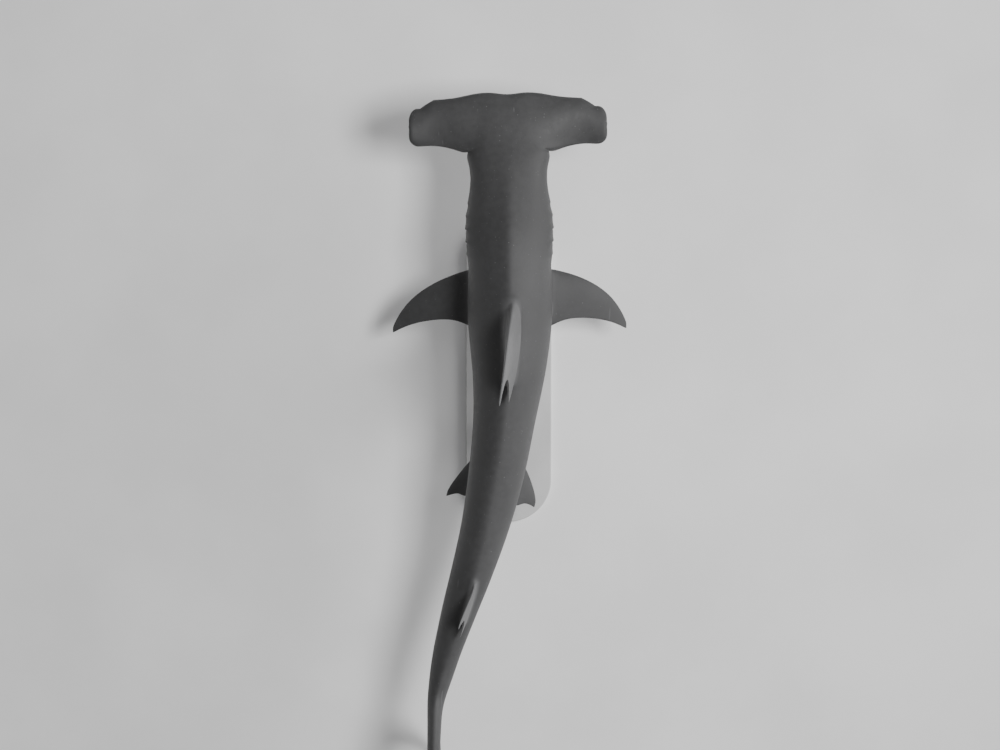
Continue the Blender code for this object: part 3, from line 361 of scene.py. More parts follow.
# Faint scratches: the turn and strength of each set, and the stretched crests that show of its marks.
SCRATCHES = ((0.35, 0.12), (-1.1, 0.09))
SCRATCH_STRETCH = (34.0, 2.4, 34.0)
SCRATCH_TILT = 0.3
SCRATCH_MARKS = Marks(1.0, 2.0, 0.4)
SCRATCH_SPAN = (0.745, 0.765)

# Rings of the eye, as shares of the way from the middle of the pupil round to the back of the ball,
# its wet surface, and the streaks of its iris.
PUPIL_EDGE = (0.155, 0.166)
IRIS_EDGE = (0.22, 0.285)
EYE_ROUGHNESS = 0.08
WET_ROUGHNESS = 0.02
IRIS_STREAKS = Marks(1.0, 3.0, 0.5)
STREAKS_ROUND = 60.0
STREAKS_OUTWARD = 8.0
IRIS_BY_STREAKS = (0.6, 1.3)

# The stand's lacquer and brushed steel, and the floor's paint.
LACQUER_CLOUDS = Marks(6.0, 4.0, 0.5)
LACQUER_SMEARS = Marks(40.0, 3.0, 0.5)
LACQUER_PEEL = Marks(350.0, 2.0, 0.5)
LACQUER_GREY = (0.50, 0.56)
LACQUER_ROUGHNESS = (0.34, 0.44)
LACQUER_PEEL_HEIGHT = 0.0002
LACQUER_RELIEF = 0.4
BRUSH_STRETCH = (6.0, 6.0, 1500.0)
BRUSH_MARKS = Marks(1.0, 3.0, 0.6)
STEEL_GREY = (0.50, 0.56)
STEEL_ROUGHNESS = (0.26, 0.34)
BRUSH_DEPTH = 0.00003
STEEL_RELIEF = 0.2
FLOOR_SIZE = 40.0
FLOOR_CELLS = 8
FLOOR_CLOUDS = Marks(1.6, 6.0, 0.5)
FLOOR_GREY = (0.84, 0.91)
FLOOR_ROUGHNESS = 0.85

# The camera, as the photograph has it: straight down, the head at the top of the picture.
PICTURE_WIDTH = 1000
METRES_PER_PIXEL = 0.003765
CAMERA_OVER_AXIS = 8.6
SENSOR_WIDTH = 36.0
PICTURE_MIDDLE = (0.0339, 0.0185)

# Lights: the side of the high one in metres, the width of the low one in degrees, and their powers.
HIGH_LIGHT_PLACE = (-2.2, -0.4, 6.0)
HIGH_LIGHT_SIZE = 1.6
HIGH_LIGHT_POWER = 300.0
LOW_LIGHT_PLACE = (-6.0, -0.9, 2.6)
LOW_LIGHT_DEGREES = 45.0
LOW_LIGHT_POWER = 2.2
ROOM_GREY = 0.8
ROOM_LIGHT = 0.30


def slope_at(points, index):
    """The slope of the smooth curve at one of its points, none where it is a crest or a dip."""
    slopes = []
    for first in (index - 1, index):
        if 0 <= first < len(points) - 1:
            (x0, y0), (x1, y1) = points[first], points[first + 1]
            slopes.append((y1 - y0) / (x1 - x0))
    if len(slopes) == 1:
        return slopes[0]
    before, after = slopes
    if before * after <= 0:
        return 0.0
    return 2 * before * after / (before + after)


def smooth(points, place):
    """The value at a place on the smooth curve through (place, value) points."""
    if place <= points[0][0]:
        return points[0][1]
    if place >= points[-1][0]:
        return points[-1][1]
    index = max(n for n, point in enumerate(points[:-1]) if point[0] <= place)
    (x0, y0), (x1, y1) = points[index], points[index + 1]
    step = x1 - x0
    t = (place - x0) / step
    value = (2 * t ** 3 - 3 * t ** 2 + 1) * y0 + (3 * t ** 2 - 2 * t ** 3) * y1
    value += (t ** 3 - 2 * t ** 2 + t) * step * slope_at(points, index)
    value += (t ** 3 - t ** 2) * step * slope_at(points, index + 1)
    return value


def blend(low, high, share):
    return low + (high - low) * share


def on_fish(station, across, height):
    """A place beside the body's bent axis, as a point of the part."""
    lean = smooth(MIDLINE, station + BEND_STEP) - smooth(MIDLINE, station - BEND_STEP)
    heading = math.atan(lean / (2 * BEND_STEP))
    roll = math.radians(smooth(ROLL_DEGREES, station)) if station > ROLL_DEGREES[0][0] else 0.0
    side = across * math.cos(roll) - height * math.sin(roll)
    rise = height * math.cos(roll) + across * math.sin(roll)
    return Vector((smooth(MIDLINE, station) + side * math.cos(heading),
                   SNOUT_Y + station - side * math.sin(heading),
                   AXIS_HEIGHT + rise))


def section_point(station, degrees, proud=0.0):
    """(across, height) on the body's skin, at an angle from straight up, and proud of it if asked."""
    angle = math.radians(degrees)
    above = math.cos(angle) >= 0
    widest = smooth(WIDEST_HEIGHT, station)
    edge = smooth(TOP_EDGE if above else LOW_EDGE, station)
    width_power = smooth(WIDTH_POWER_ABOVE if above else WIDTH_POWER_BELOW, station)
    half_width = smooth(HALF_WIDTH, station) * CAGE_SWELL + proud
    half_height = (edge - widest) * CAGE_SWELL + math.copysign(proud, edge - widest)
    across = half_width * math.copysign(abs(math.sin(angle)) ** width_power, math.sin(angle))
    height = widest + half_height * abs(math.cos(angle)) ** smooth(HEIGHT_POWER, station)
    if degrees == 0:
        height += smooth(BACK_RIDGE, station)
    return across, height


def column_degrees(column):
    """The angle of a column on the rim of the cage's grid, negative on the right."""
    across, up = column
    degrees = COLUMN_DEGREES[(abs(across), up)]
    return math.copysign(degrees, across) if across else degrees


def foil(share):
    """Half the thickness of a fin along its chord, 1 at the thickest."""
    half_thickness = FOIL_ROOT * math.sqrt(share)
    for power, factor in enumerate(FOIL_POWERS, 1):
        half_thickness += factor * share ** power
    return half_thickness * FOIL_SCALE


def blunt(share):
    """Half the thickness along the chord of a section with a round front and rear, 1 at the middle."""
    return (1 - (2 * share - 1) ** 2) ** BLUNT_POWER


def side_of(label):
    """1 on the shark's left and -1 on its right."""
    return math.copysign(1, label.across)


def edge_turn(label):
    """The angle round a rounded edge, a quarter turn from its middle to the top or bottom row."""
    return math.radians(90 * label.up / HALF_GRID)


def body_place(label):
    """A cage vertex on the body, from the snout's rim to the tip of the tail."""
    if label.ring == 0:
        return snout_place(label)
    station = STATIONS[label.ring]
    if max(abs(label.across), abs(label.up)) < HALF_GRID:
        rim_across, height = section_point(station, column_degrees((HALF_GRID, label.up)))
        return on_fish(station + TAIL_TIP_ROUNDING, rim_across * label.across / HALF_GRID, height)
    across, height = section_point(station, column_degrees((label.across, label.up)))
    if label.ring < len(HEAD_STATIONS):
        front = smooth(HEAD_FRONT, abs(across))
        rear = smooth(HEAD_REAR, abs(across))
        station = blend(front, rear, station / HEAD_STATIONS[-1])
    return on_fish(station, across, height)


def snout_place(label):
    """The rounded front edge of the head between its wings."""
    across = SNOUT_HALF_ACROSS * label.across / HALF_GRID
    turn = edge_turn(label)
    station = smooth(HEAD_FRONT, abs(across)) + SNOUT_ROUNDING * (1 - math.cos(turn))
    return on_fish(station, across, SNOUT_HALF_THICKNESS * math.sin(turn))


def wing_place(label):
    """A cage vertex on a wing of the head, whose section is a foil with a rounded rear edge."""
    side = side_of(label)
    across = WING_ACROSS[label.level - 1]
    last_ring = len(HEAD_STATIONS) - 1
    at_end = label.level == len(WING_ACROSS)
    if at_end and between(label.ring, EYE_RINGS) and abs(label.up) < HALF_GRID:
        return eye_ring_place(label, LID_SKIN_RADIUS, WING_END)
    half_thickness = smooth(WING_THICKNESS, across) / 2
    turn = edge_turn(label)
    fullness = smooth(WING_FULLNESS, across)
    if label.ring == 0:
        share = WING_NOSE_ROUNDING * (1 - math.cos(turn))
        height = half_thickness * WING_NOSE_BLUNTNESS * math.sin(turn)
    elif label.ring == last_ring:
        share = 1 - WING_HEEL_ROUNDING * (1 - math.cos(turn))
        height = half_thickness * smooth(WING_HEEL_BLUNTNESS, across) * math.sin(turn)
    else:
        outward = (label.level / len(WING_ACROSS)) ** WING_END_POWER
        share = blend(WING_SHARES[label.ring - 1], WING_END_SHARES[label.ring - 1], outward)
        height = half_thickness * blend(foil(share), blunt(share), fullness) * label.up / HALF_GRID
        if at_end and abs(label.up) < HALF_GRID:
            across = WING_END
    return on_fish(blend(smooth(HEAD_FRONT, across), smooth(HEAD_REAR, across), share),
                   side * across, height)


def eye_ring_place(label, radius, across):
    """A vertex of the two by two patch over the eye, set on a circle round the eye's middle."""
    side = side_of(label)
    forward = label.ring - EYE_RINGS[0] - 1
    if forward == 0 and label.up == 0:
        return on_fish(EYE_STATION, side * across, EYE_HEIGHT)
    turn = math.atan2(label.up, forward)
    return on_fish(EYE_STATION + radius * math.cos(turn), side * across,
                   EYE_HEIGHT + radius * math.sin(turn))


def lid_place(label):
    """Loops round the eye: the foot, crest and inner edge of its lids, then the floor of its socket."""
    if label.level > len(LID_RADII):
        return eye_ring_place(label, LID_RADII[-1], SOCKET_ACROSS)
    return eye_ring_place(label, LID_RADII[label.level - 1], LID_ACROSS[label.level - 1])


def nostril_place(label):
    """Loops round the nostril, a slit along the front edge of the wing close to the eye."""
    side = side_of(label)
    along = label.origin_level - NOSTRIL_LEVELS[1]
    spread = NOSTRIL_RIM if label.level == 1 else NOSTRIL_POCKET
    across = NOSTRIL_ACROSS + NOSTRIL_HALF_LENGTH * spread * along
    height = NOSTRIL_HALF_HEIGHT * spread * label.up * (1.0 if along == 0 else NOSTRIL_END_HEIGHT)
    station = smooth(HEAD_FRONT, across) + (NOSTRIL_DEPTH if label.level == 2 else 0.0)
    return on_fish(station, side * across, height + EYE_HEIGHT)


def mouth_line(across):
    """The station of the closed mouth's line under the head."""
    share = min(1.0, abs(across) / MOUTH_HALF_WIDTH)
    return blend(MOUTH_FRONT, MOUTH_CORNER, share ** MOUTH_ARCH_POWER)


def mouth_place(label):
    """Loops round the mouth: the outer edge of the lips, the edge of the slit, and its floor."""
    behind_line = label.ring - MOUTH_RINGS[0] - 1
    half_width = MOUTH_HALF_WIDTH + (LIP_WIDTH if label.level == 1 else 0.0)
    across = half_width * math.sin(label.across / HALF_GRID * math.pi / 2)
    half_opening = (LIP_WIDTH, MOUTH_HALF_OPENING, MOUTH_HALF_OPENING)[label.level - 1]
    proud = (LIP_PROUD, LIP_EDGE_PROUD, -MOUTH_DEPTH)[label.level - 1]
    station = mouth_line(across) + half_opening * behind_line
    belly = section_point(station, column_degrees((1, -HALF_GRID)))[1]
    return on_fish(station, across, belly - proud)


def gill_place(label, slit):
    """Loops round a gill slit: the flap's free edge stands proud in front of the sunken slit."""
    first_ring = gill_ring(slit)
    behind = label.ring > first_ring
    share = GILL_ROWS[label.up]
    opening = GILL_HALF_OPENING * (GILL_END_OPENING if share in (0.0, 1.0) else 1.0)
    strength = math.sin(math.pi * blend(*GILL_WAVE, share))
    station = (STATIONS[first_ring] + STATIONS[first_ring + 1]) / 2
    station += GILL_SLANT * (share - 0.5) - GILL_BOW * math.sin(math.pi * share)
    if label.level == 1:
        proud = 0.0 if behind else GILL_FLAP_PROUD * strength
        station += opening * GILL_EDGES[behind]
    else:
        proud = -GILL_DEPTH * strength
        station += opening * GILL_FLOOR_EDGES[behind]
    degrees = blend(GILL_TOP_DEGREES[slit], GILL_BOTTOM_DEGREES[slit], share)
    across, height = section_point(station, degrees, proud)
    return on_fish(station, math.copysign(across, label.across), height)


def is_paired(fin):
    """Whether a fin grows from each side, and not from the middle of the back or belly."""
    return fin.columns[0][0] == HALF_GRID


def fin_column(fin, label):
    """Which of a fin's three columns through its thickness a cage vertex is in."""
    across = abs(label.across) if is_paired(fin) else label.across
    return fin.columns.index((across, label.up))


def fin_place(fin, label):
    """A cage vertex on a fin: along the chord by its ring, and by its column through the thickness."""
    side = side_of(label) if is_paired(fin) else 1
    span = fin.spans[label.level - 1]
    first, last = (STATIONS.index(station) for station in fin.base)
    through = fin_column(fin, label) - 1
    share = blend(NOSE_SHARE, TAIL_SHARE, (label.ring - first) / (last - first))
    half_thickness = max(smooth(fin.thickness, span) / 2 * foil(share), TRAILING_EDGE / 2)
    if through == 0 and label.ring in (first, last):
        share = 0.0 if label.ring == first else 1.0
    station = blend(smooth(fin.front, span), smooth(fin.rear, span), share)
    station += fin.swing * (side_of(label) + fin.swing_bias) * (span - fin.spans[0])
    middle = fin_middle(fin, span)
    face = Vector((1, 0))
    if is_paired(fin):
        run = (fin_middle(fin, span + FIN_STEP) - middle).normalized()
        face = Vector((run.y, -run.x))
    place = middle + face * half_thickness * through
    return on_fish(station, side * place.x, place.y)


def fin_middle(fin, span):
    """(across, height) of a fin's middle plane at a distance along its span."""
    return Vector((smooth(fin.across, span), smooth(fin.up, span)))


Label = namedtuple("Label", "form level origin_level ring across up")
LAYERS = Label._fields
BODY, WING, EYE, NOSTRIL, MOUTH, FIRST_GILL, FIRST_FIN = 0, 1, 2, 3, 4, 10, 20
FINS = (FIRST_DORSAL, SECOND_DORSAL, ANAL_FIN, PECTORAL, PELVIC, LOWER_LOBE)
SLIT_LEVELS = 2    # how often the skin is extruded into a nostril or gill slit
MOUTH_LEVELS = 3   # and into the mouth, first for the lips


def gill_ring(slit):
    """The ring of the cage in front of a gill slit, counted from the front."""
    return STATIONS.index(NECK_STATIONS[-1]) + slit


def cage_place(label):
    if label.form == WING:
        return wing_place(label)
    if label.form == EYE:
        return lid_place(label)
    if label.form == NOSTRIL:
        return nostril_place(label)
    if label.form == MOUTH:
        return mouth_place(label)
    if label.form >= FIRST_FIN:
        return fin_place(FINS[label.form - FIRST_FIN], label)
    if label.form >= FIRST_GILL:
        return gill_place(label, label.form - FIRST_GILL)
    return body_place(label)


def edit_mesh(cage):
    """The mesh being edited, with the layers that label its vertices."""
    mesh = bmesh.from_edit_mesh(cage.data)
    return mesh, [mesh.verts.layers.int[name] for name in LAYERS]


def label_of(vertex, layers):
    return Label(*[vertex[layer] for layer in layers])


def extrude_once(cage, **labels):
    """Extrude the selected faces in place, and label the vertices that move with them."""
    bpy.ops.mesh.extrude_region()
    mesh, layers = edit_mesh(cage)
    for vertex in mesh.verts:
        if vertex.select:
            for name, value in labels.items():
                vertex[layers[LAYERS.index(name)]] = value


def select_faces(cage, fits):
    """Select the faces whose corners' labels all fit."""
    bpy.ops.mesh.select_all(action="DESELECT")
    mesh, layers = edit_mesh(cage)
    for face in mesh.faces:
        if all(fits(label_of(vertex, layers)) for vertex in face.verts):
            face.select_set(True)
    bmesh.update_edit_mesh(cage.data)


def grow(cage, form, levels, fits):
    """Extrude a patch once for each level of a wing, fin or hollow."""
    select_faces(cage, fits)
    mesh, layers = edit_mesh(cage)
    level_layer = layers[LAYERS.index("level")]
    origin_layer = layers[LAYERS.index("origin_level")]
    for vertex in mesh.verts:
        if vertex.select:
            vertex[origin_layer] = vertex[level_layer]
    for level in range(1, levels + 1):
        extrude_once(cage, form=form, level=level)


def start_cage():
    """A closed tube with a ring of vertices at each station, and a four by four grid at each end."""
    across = 2 * HALF_GRID
    bpy.ops.mesh.primitive_grid_add(x_subdivisions=across, y_subdivisions=across, size=across)
    cage = bpy.context.object
    cage.name = "fish"
    for name in LAYERS:
        cage.data.attributes.new(name, "INT", "POINT")
    bpy.ops.object.mode_set(mode="EDIT")
    mesh, layers = edit_mesh(cage)
    for vertex in mesh.verts:
        vertex[layers[LAYERS.index("across")]] = round(vertex.co.x)
        vertex[layers[LAYERS.index("up")]] = round(vertex.co.y)
    for ring in range(1, len(STATIONS)):
        extrude_once(cage, ring=ring)
    return cage


def between(value, ends):
    return ends[0] <= value <= ends[1]


def grow_head(cage):
    """The two wings of the head, and in them the sockets, the nostrils and the mouth."""
    last_ring = len(HEAD_STATIONS) - 1
    wing_levels = len(WING_ACROSS)
    for side in (-1, 1):
        grow(cage, WING, wing_levels,
             lambda at: at.form == BODY and at.across == side * HALF_GRID and at.ring <= last_ring)
        grow(cage, EYE, len(LID_RADII) + 1,
             lambda at: at.form == WING and at.level == wing_levels and at.across == side * HALF_GRID
             and between(at.ring, EYE_RINGS) and abs(at.up) <= 1)
        grow(cage, NOSTRIL, SLIT_LEVELS,
             lambda at: at.form == WING and at.ring == 0 and at.across == side * HALF_GRID
             and at.level in NOSTRIL_LEVELS and abs(at.up) <= 1)
    grow(cage, MOUTH, MOUTH_LEVELS,
         lambda at: at.form == BODY and at.up == -HALF_GRID and between(at.ring, MOUTH_RINGS))


def grow_gills(cage):
    for slit in range(len(GILL_TOP_DEGREES)):
        ring = gill_ring(slit)
        for side in (-1, 1):
            grow(cage, FIRST_GILL + slit, SLIT_LEVELS,
                 lambda at: at.form == BODY and at.across == side * HALF_GRID and at.up in GILL_ROWS
                 and at.ring in (ring, ring + 1))


def grow_fins(cage):
    for number, fin in enumerate(FINS):
        ends = [STATIONS.index(station) for station in fin.base]
        for side in ((-1, 1) if is_paired(fin) else (1,)):
            columns = [(side * across, up) for across, up in fin.columns]
            grow(cage, FIRST_FIN + number, len(fin.spans),
                 lambda at: at.form == BODY and (at.across, at.up) in columns and between(at.ring, ends))


def paleness(label):
    """How pale the skin is at a cage vertex, from its place on the body or fin."""
    if label.form in (WING, EYE, NOSTRIL):
        return WING_PALENESS[label.up]
    if label.form >= FIRST_FIN:
        fin = FINS[label.form - FIRST_FIN]
        if is_paired(fin):
            return PAIRED_FIN_PALENESS[fin_column(fin, label)]
        return LOW_FIN_PALENESS if fin.columns is BELLY_COLUMNS else 0.0
    if label.ring == 0:
        return WING_PALENESS[label.up]
    return BODY_PALENESS[label.up] * smooth(TAIL_FADING, STATIONS[label.ring])


def hollow_shade(label):
    """How much painted shade the skin gets in a hollow: 1 on the floor of a nostril, gill slit, mouth or
    eye socket, less on its edge, 0 elsewhere.
    """
    if label.form == EYE:
        return {len(LID_RADII): SOCKET_EDGE_SHADE, len(LID_RADII) + 1: 1.0}.get(label.level, 0.0)
    if label.form == NOSTRIL or FIRST_GILL <= label.form < FIRST_FIN:
        return 1.0 if label.level == SLIT_LEVELS else SLIT_EDGE_SHADE
    if label.form == MOUTH:
        return {MOUTH_LEVELS - 1: MOUTH_EDGE_SHADE, MOUTH_LEVELS: 1.0}.get(label.level, 0.0)
    return 0.0


def towards_tip(label):
    """How far out along its fin a cage vertex lies, 0 at the root and 1 at the tip."""
    if label.form < FIRST_FIN:
        return 0.0
    return label.level / len(FINS[label.form - FIRST_FIN].spans)


def on_head(label):
    """1 over the head, fading to 0 at the gills."""
    if label.form in (WING, EYE, NOSTRIL, MOUTH):
        return 1.0
    if label.form != BODY:
        return 0.0
    return smooth(HEAD_FADING, STATIONS[label.ring])


def painted_dorsal_light(label):
    """1 on the two dorsal fins, whose faces get a paler grey than the back as painted light, for the
    light that falls on a fin's face.
    """
    on_back = label.form >= FIRST_FIN and FINS[label.form - FIRST_FIN].columns is BACK_COLUMNS
    return 1.0 if on_back else 0.0


SKIN_SHADES = {"paleness": paleness, "hollow": hollow_shade, "tip": towards_tip, "head": on_head,
               "dorsal": painted_dorsal_light}


def model_skin():
    """The whole skin as one closed mesh, with the shades that its finish reads on its vertices."""
    skin = start_cage()
    grow_head(skin)
    grow_gills(skin)
    grow_fins(skin)
    bpy.ops.object.mode_set(mode="OBJECT")
    for name in SKIN_SHADES:
        skin.data.attributes.new(name, "FLOAT", "POINT")
    bpy.ops.object.mode_set(mode="EDIT")
    mesh, layers = edit_mesh(skin)
    shades = [(mesh.verts.layers.float[name], shade_of) for name, shade_of in SKIN_SHADES.items()]
    for vertex in mesh.verts:
        label = label_of(vertex, layers)
        vertex.co = cage_place(label)
        for layer, shade_of in shades:
            vertex[layer] = shade_of(label)
    bpy.ops.mesh.select_all(action="SELECT")
    bpy.ops.mesh.normals_make_consistent(inside=False)
    bpy.ops.object.mode_set(mode="OBJECT")
    for name in LAYERS:
        skin.data.attributes.remove(skin.data.attributes[name])
    smoothing = skin.modifiers.new("smoothing", "SUBSURF")
    smoothing.levels = smoothing.render_levels = SKIN_SMOOTHING
    bpy.ops.object.modifier_apply(modifier=smoothing.name)
    fold_lids(skin)
    furrow_mouth(skin)
    bpy.ops.object.shade_smooth()
    skin.name = "shark_skin"
    return skin


def fold_lids(skin):
    """A soft fold round each eye, deepest below it, where the third lid is drawn in."""
    for vertex in skin.data.vertices:
        side = math.copysign(1, vertex.co.x)
        eye = on_fish(EYE_STATION, side * EYE_ACROSS, EYE_HEIGHT)
        if (vertex.co - eye).length > LID_FOLD_REACH:
            continue
        round_eye = Vector((vertex.co.y - eye.y, vertex.co.z - eye.z))
        below = 0.5 - 0.5 * round_eye.y / max(round_eye.length, LID_FOLD_WIDTH)
        depth = math.exp(-((round_eye.length - LID_FOLD_RADIUS) / LID_FOLD_WIDTH) ** 2)
        vertex.co.x -= side * LID_FOLD_DEPTH * depth * blend(LID_FOLD_ABOVE, 1.0, below)


def furrow_mouth(skin):
    """A short furrow that runs outwards and back from each corner of the mouth."""
    for vertex in skin.data.vertices:
        if vertex.co.z > AXIS_HEIGHT:
            continue
        for side in (-1, 1):
            corner = on_fish(MOUTH_CORNER, side * MOUTH_HALF_WIDTH, 0)
            ahead = vertex.co.y - corner.y
            if abs(ahead) > FURROW_LENGTH or abs(vertex.co.x - corner.x) > FURROW_LENGTH:
                continue
            off_line = (vertex.co.x - corner.x) * side - ahead * FURROW_SLOPE
            across = math.exp(-(off_line / FURROW_WIDTH) ** 2)
            along = math.exp(-(2 * ahead / FURROW_LENGTH) ** 2)
            vertex.co.z += FURROW_DEPTH * across * along


def add_node(material, kind, *values, **settings):
    """A node with its settings made and its inputs, in order, set to values or joined to sockets."""
    node = material.node_tree.nodes.new("ShaderNode" + kind)
    for name, setting in settings.items():
        setattr(node, name, setting)
    for socket, value in zip(node.inputs, values):
        if isinstance(value, bpy.types.NodeSocket):
            material.node_tree.links.new(value, socket)
        elif value is not None:
            socket.default_value = value
    return node


def sums(material, operation, first, second=0.0, third=0.0):
    return add_node(material, "Math", first, second, third, operation=operation).outputs[0]


def fade(material, value, low, high, first=0.0, last=1.0):
    """A value that runs softly from first to last while the input goes from low to high."""
    node = add_node(material, "MapRange", value, low, high, first, last, interpolation_type="SMOOTHSTEP")
    return node.outputs[0]


def noise(material, place, marks):
    node = add_node(material, "TexNoise", place, None, marks.per_metre, marks.layers, marks.strength)
    return node.outputs["Fac"]


def vary(material, marks, ends, span=MARK_SPAN):
    """A value that wanders softly between two ends, as the marks do within their span."""
    return fade(material, marks, *span, *ends)


def shade(material, name):
    return add_node(material, "Attribute", attribute_name=name).outputs["Fac"]


def mix(material, share, first, second):
    """A number between two, by a share."""
    return add_node(material, "Mix", share, None, first, second, data_type="FLOAT").outputs[0]


def object_place(material, stretch=(1.0, 1.0, 1.0), turn=(0.0, 0.0, 0.0)):
    place = add_node(material, "TexCoord").outputs["Object"]
    return add_node(material, "Mapping", place, (0.0, 0.0, 0.0), turn, stretch).outputs[0]


def new_material(name, roughness=0.5, **values):
    made = bpy.data.materials.new(name)
    made.use_nodes = True
    shader = made.node_tree.nodes["Principled BSDF"]
    shader.inputs["Roughness"].default_value = roughness
    for socket, value in values.items():
        shader.inputs[socket.replace("_", " ")].default_value = value
    return made, shader


def join(material, output, shader, socket):
    material.node_tree.links.new(output, shader.inputs[socket])


def paint(material, shader, grey, blue=None):
    """Give a finish a grey, with a blue of its own where it has a tint."""
    colour = add_node(material, "CombineColor", grey, grey, grey if blue is None else blue)
    join(material, colour.outputs[0], shader, "Base Color")


def emboss(material, shader, strength, height):
    bump = add_node(material, "Bump", strength, 1.0, None, height)
    join(material, bump.outputs[0], shader, "Normal")


def specks(material, place, kind):
    """Small round specks, one in some cells of a grid of random cells: 1 on a speck."""
    cells = add_node(material, "TexVoronoi", place, None, kind.per_metre)
    spot = fade(material, cells.outputs["Distance"], kind.radius, kind.radius * SPECK_CORE)
    chance = add_node(material, "SeparateColor", cells.outputs["Color"]).outputs[0]
    return sums(material, "MULTIPLY", spot, sums(material, "LESS_THAN", chance, kind.share))


def skin_finish():
    """Dark grey back, pale belly with a soft uneven border, and mottling, specks, scratches and pores."""
    skin, shader = new_material("shark_skin", Specular_IOR_Level=SKIN_SHINE)
    place = object_place(skin)
    clouds = noise(skin, place, SKIN_CLOUDS)
    mottle = noise(skin, place, SKIN_MOTTLE)
    grain = noise(skin, place, SKIN_GRAIN)

    border = sums(skin, "MULTIPLY_ADD", clouds, BORDER_BY_CLOUDS, shade(skin, "paleness"))
    border = sums(skin, "MULTIPLY_ADD", mottle, BORDER_BY_MOTTLE, border)
    pale = fade(skin, border, *BORDER_SPAN)
    pale = sums(skin, "MULTIPLY", pale, fade(skin, shade(skin, "tip"), *TIP_SPAN, 1.0, TIP_PALENESS))

    # Painted light: the dorsal fins get a paler grey than the back, for the light on their faces.
    back = mix(skin, shade(skin, "dorsal"), BACK_GREY, DORSAL_PAINTED_LIGHT_GREY)
    back = sums(skin, "MULTIPLY", back, vary(skin, clouds, BACK_BY_CLOUDS, WIDE_MARK_SPAN))
    back = sums(skin, "MULTIPLY", back, vary(skin, mottle, BACK_BY_MOTTLE))
    belly = sums(skin, "MULTIPLY", BELLY_GREY, vary(skin, mottle, BELLY_BY_MOTTLE))
    grey = mix(skin, pale, back, belly)

    pale_specks = sums(skin, "MAXIMUM", *[specks(skin, place, kind) for kind in PALE_SPECKS])
    grey = mix(skin, sums(skin, "MULTIPLY", pale_specks, SPECK_STRENGTH), grey, PALE_MARK_GREY)
    for turn, strength in SCRATCHES:
        scratch_place = object_place(skin, SCRATCH_STRETCH, (0.0, SCRATCH_TILT, turn))
        scratch = fade(skin, noise(skin, scratch_place, SCRATCH_MARKS), *SCRATCH_SPAN)
        grey = mix(skin, sums(skin, "MULTIPLY", scratch, strength), grey, PALE_MARK_GREY)
    pores = sums(skin, "MULTIPLY", specks(skin, place, PORES), shade(skin, "head"))
    grey = mix(skin, sums(skin, "MULTIPLY", pores, PORE_STRENGTH), grey, PORE_GREY)
    # Painted shade: the floors and edges of the nostrils, gill slits, mouth and eye sockets are darkened.
    grey = mix(skin, fade(skin, shade(skin, "hollow"), *HOLLOW_SHADE_SPAN), grey, HOLLOW_SHADE_GREY)
    paint(skin, shader, grey, sums(skin, "MULTIPLY", grey, SKIN_BLUE))

    join(skin, vary(skin, mottle, SKIN_ROUGHNESS), shader, "Roughness")
    height = sums(skin, "MULTIPLY", grain, GRAIN_HEIGHT)
    height = sums(skin, "MULTIPLY_ADD", mottle, MOTTLE_HEIGHT, height)
    height = sums(skin, "MULTIPLY_ADD", pores, -PORE_DEPTH, height)
    emboss(skin, shader, SKIN_RELIEF, height)
    return skin


def model_eye(name, side):
    """The ball of an eye, its pole at the middle of the pupil."""
    bpy.ops.mesh.primitive_uv_sphere_add(segments=EYE_SEGMENTS, ring_count=EYE_LOOPS, radius=EYE_RADIUS)
    ball = bpy.context.object
    ball.name = name
    ball.data.transform(Matrix.Rotation(side * math.pi / 2, 4, "Y"))
    ball.data.transform(Matrix.Translation(on_fish(EYE_STATION, side * EYE_ACROSS, EYE_HEIGHT)))
    bpy.ops.object.shade_smooth()
    return ball


def eye_finish():
    """A wet eye: a black pupil in a grey iris with fine streaks, dark towards its rim."""
    eye, shader = new_material("shark_eye", EYE_ROUGHNESS,
                               Coat_Weight=1.0, Coat_Roughness=WET_ROUGHNESS)
    place = add_node(eye, "SeparateXYZ", add_node(eye, "TexCoord").outputs["UV"])
    from_pole = sums(eye, "SUBTRACT", 1.0, place.outputs["Y"])
    round_eye = sums(eye, "MULTIPLY", place.outputs["X"], STREAKS_ROUND)
    outward = sums(eye, "MULTIPLY", from_pole, STREAKS_OUTWARD)
    streak_place = add_node(eye, "CombineXYZ", round_eye, outward, 0.0).outputs[0]
    streaks = noise(eye, streak_place, IRIS_STREAKS)
    iris = sums(eye, "MULTIPLY", IRIS_GREY, vary(eye, streaks, IRIS_BY_STREAKS))
    grey = mix(eye, fade(eye, from_pole, *PUPIL_EDGE), PUPIL_GREY, iris)
    grey = mix(eye, fade(eye, from_pole, *IRIS_EDGE), grey, EYE_RIM_GREY)
    paint(eye, shader, grey)
    return eye


def plate_finish():
    """Satin pale lacquer on the base, with a faint orange-peel."""
    plate, shader = new_material("stand_lacquer")
    place = object_place(plate)
    paint(plate, shader, vary(plate, noise(plate, place, LACQUER_CLOUDS), LACQUER_GREY))
    roughness = vary(plate, noise(plate, place, LACQUER_SMEARS), LACQUER_ROUGHNESS)
    join(plate, roughness, shader, "Roughness")
    peel = sums(plate, "MULTIPLY", noise(plate, place, LACQUER_PEEL), LACQUER_PEEL_HEIGHT)
    emboss(plate, shader, LACQUER_RELIEF, peel)
    return plate


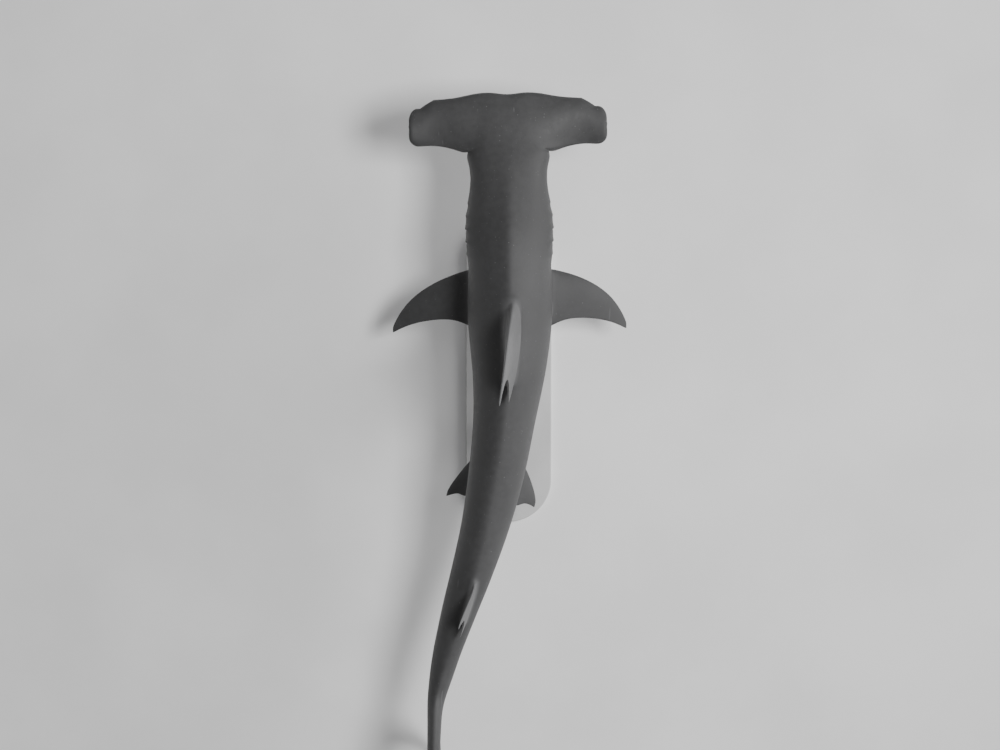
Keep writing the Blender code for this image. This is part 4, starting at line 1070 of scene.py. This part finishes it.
def rod_finish():
    """Brushed steel, its marks running round the rod."""
    rod, shader = new_material("stand_steel", Metallic=1.0)
    marks = noise(rod, object_place(rod, BRUSH_STRETCH), BRUSH_MARKS)
    paint(rod, shader, vary(rod, marks, STEEL_GREY, WIDE_MARK_SPAN))
    join(rod, vary(rod, marks, STEEL_ROUGHNESS), shader, "Roughness")
    emboss(rod, shader, STEEL_RELIEF, sums(rod, "MULTIPLY", marks, BRUSH_DEPTH))
    return rod


def finish_stand(nodes):
    plate = plate_finish()
    steel = rod_finish()
    for name, finish in (("stand_base", plate), ("stand_rod_front", steel), ("stand_rod_rear", steel)):
        nodes[name].material_slots[0].material = finish


def lay_floor():
    bpy.ops.mesh.primitive_grid_add(x_subdivisions=FLOOR_CELLS, y_subdivisions=FLOOR_CELLS,
                                    size=FLOOR_SIZE)
    floor = bpy.context.object
    floor.name = "studio_floor"
    coat, shader = new_material("floor_paint", FLOOR_ROUGHNESS)
    paint(coat, shader, vary(coat, noise(coat, object_place(coat), FLOOR_CLOUDS), FLOOR_GREY))
    floor.data.materials.append(coat)


def add_light(name, kind, place, aim, spread, power):
    """A lamp at its place, aimed: a square of a given side, or a sun that is so many degrees wide."""
    lamp = bpy.data.lights.new(name, kind)
    if kind == "SUN":
        lamp.angle = math.radians(spread)
    else:
        lamp.size = spread
    lamp.energy = power
    holder = bpy.data.objects.new(name, lamp)
    holder.location = place
    holder.rotation_euler = (Vector(aim) - Vector(place)).to_track_quat("-Z", "Y").to_euler()
    bpy.context.scene.collection.objects.link(holder)


def light_studio():
    """A soft light high on the picture's right, a broad low one from there too, and a grey room."""
    middle = (*PICTURE_MIDDLE, AXIS_HEIGHT)
    add_light("high", "AREA", HIGH_LIGHT_PLACE, middle, HIGH_LIGHT_SIZE, HIGH_LIGHT_POWER)
    add_light("low", "SUN", LOW_LIGHT_PLACE, middle, LOW_LIGHT_DEGREES, LOW_LIGHT_POWER)
    room = bpy.data.worlds.new("studio")
    room.use_nodes = True
    air = room.node_tree.nodes["Background"]
    air.inputs["Color"].default_value = (ROOM_GREY, ROOM_GREY, ROOM_GREY, 1.0)
    air.inputs["Strength"].default_value = ROOM_LIGHT
    bpy.context.scene.world = room


def set_camera():
    """Straight over the middle of the picture, with the head towards its top."""
    camera = bpy.data.cameras.new("camera")
    camera.sensor_width = SENSOR_WIDTH
    camera.lens = SENSOR_WIDTH * CAMERA_OVER_AXIS / (METRES_PER_PIXEL * PICTURE_WIDTH)
    holder = bpy.data.objects.new("camera", camera)
    holder.location = (*PICTURE_MIDDLE, AXIS_HEIGHT + CAMERA_OVER_AXIS)
    holder.rotation_euler = (0.0, 0.0, math.pi)
    bpy.context.scene.collection.objects.link(holder)
    bpy.context.scene.camera = holder


def main():
    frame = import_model()
    bpy.ops.object.select_all(action="DESELECT")
    set_camera()
    light_studio()
    lay_floor()
    skin = model_skin()
    skin.data.materials.append(skin_finish())
    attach(skin, "root")
    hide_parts(*FLESH)
    finish = eye_finish()
    for side, name in ((1, "left"), (-1, "right")):
        ball = model_eye("shark_eye_" + name, side)
        ball.data.materials.append(finish)
        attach(ball, "root")
        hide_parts("eye_" + name)
    finish_stand(frame["nodes"])


main()
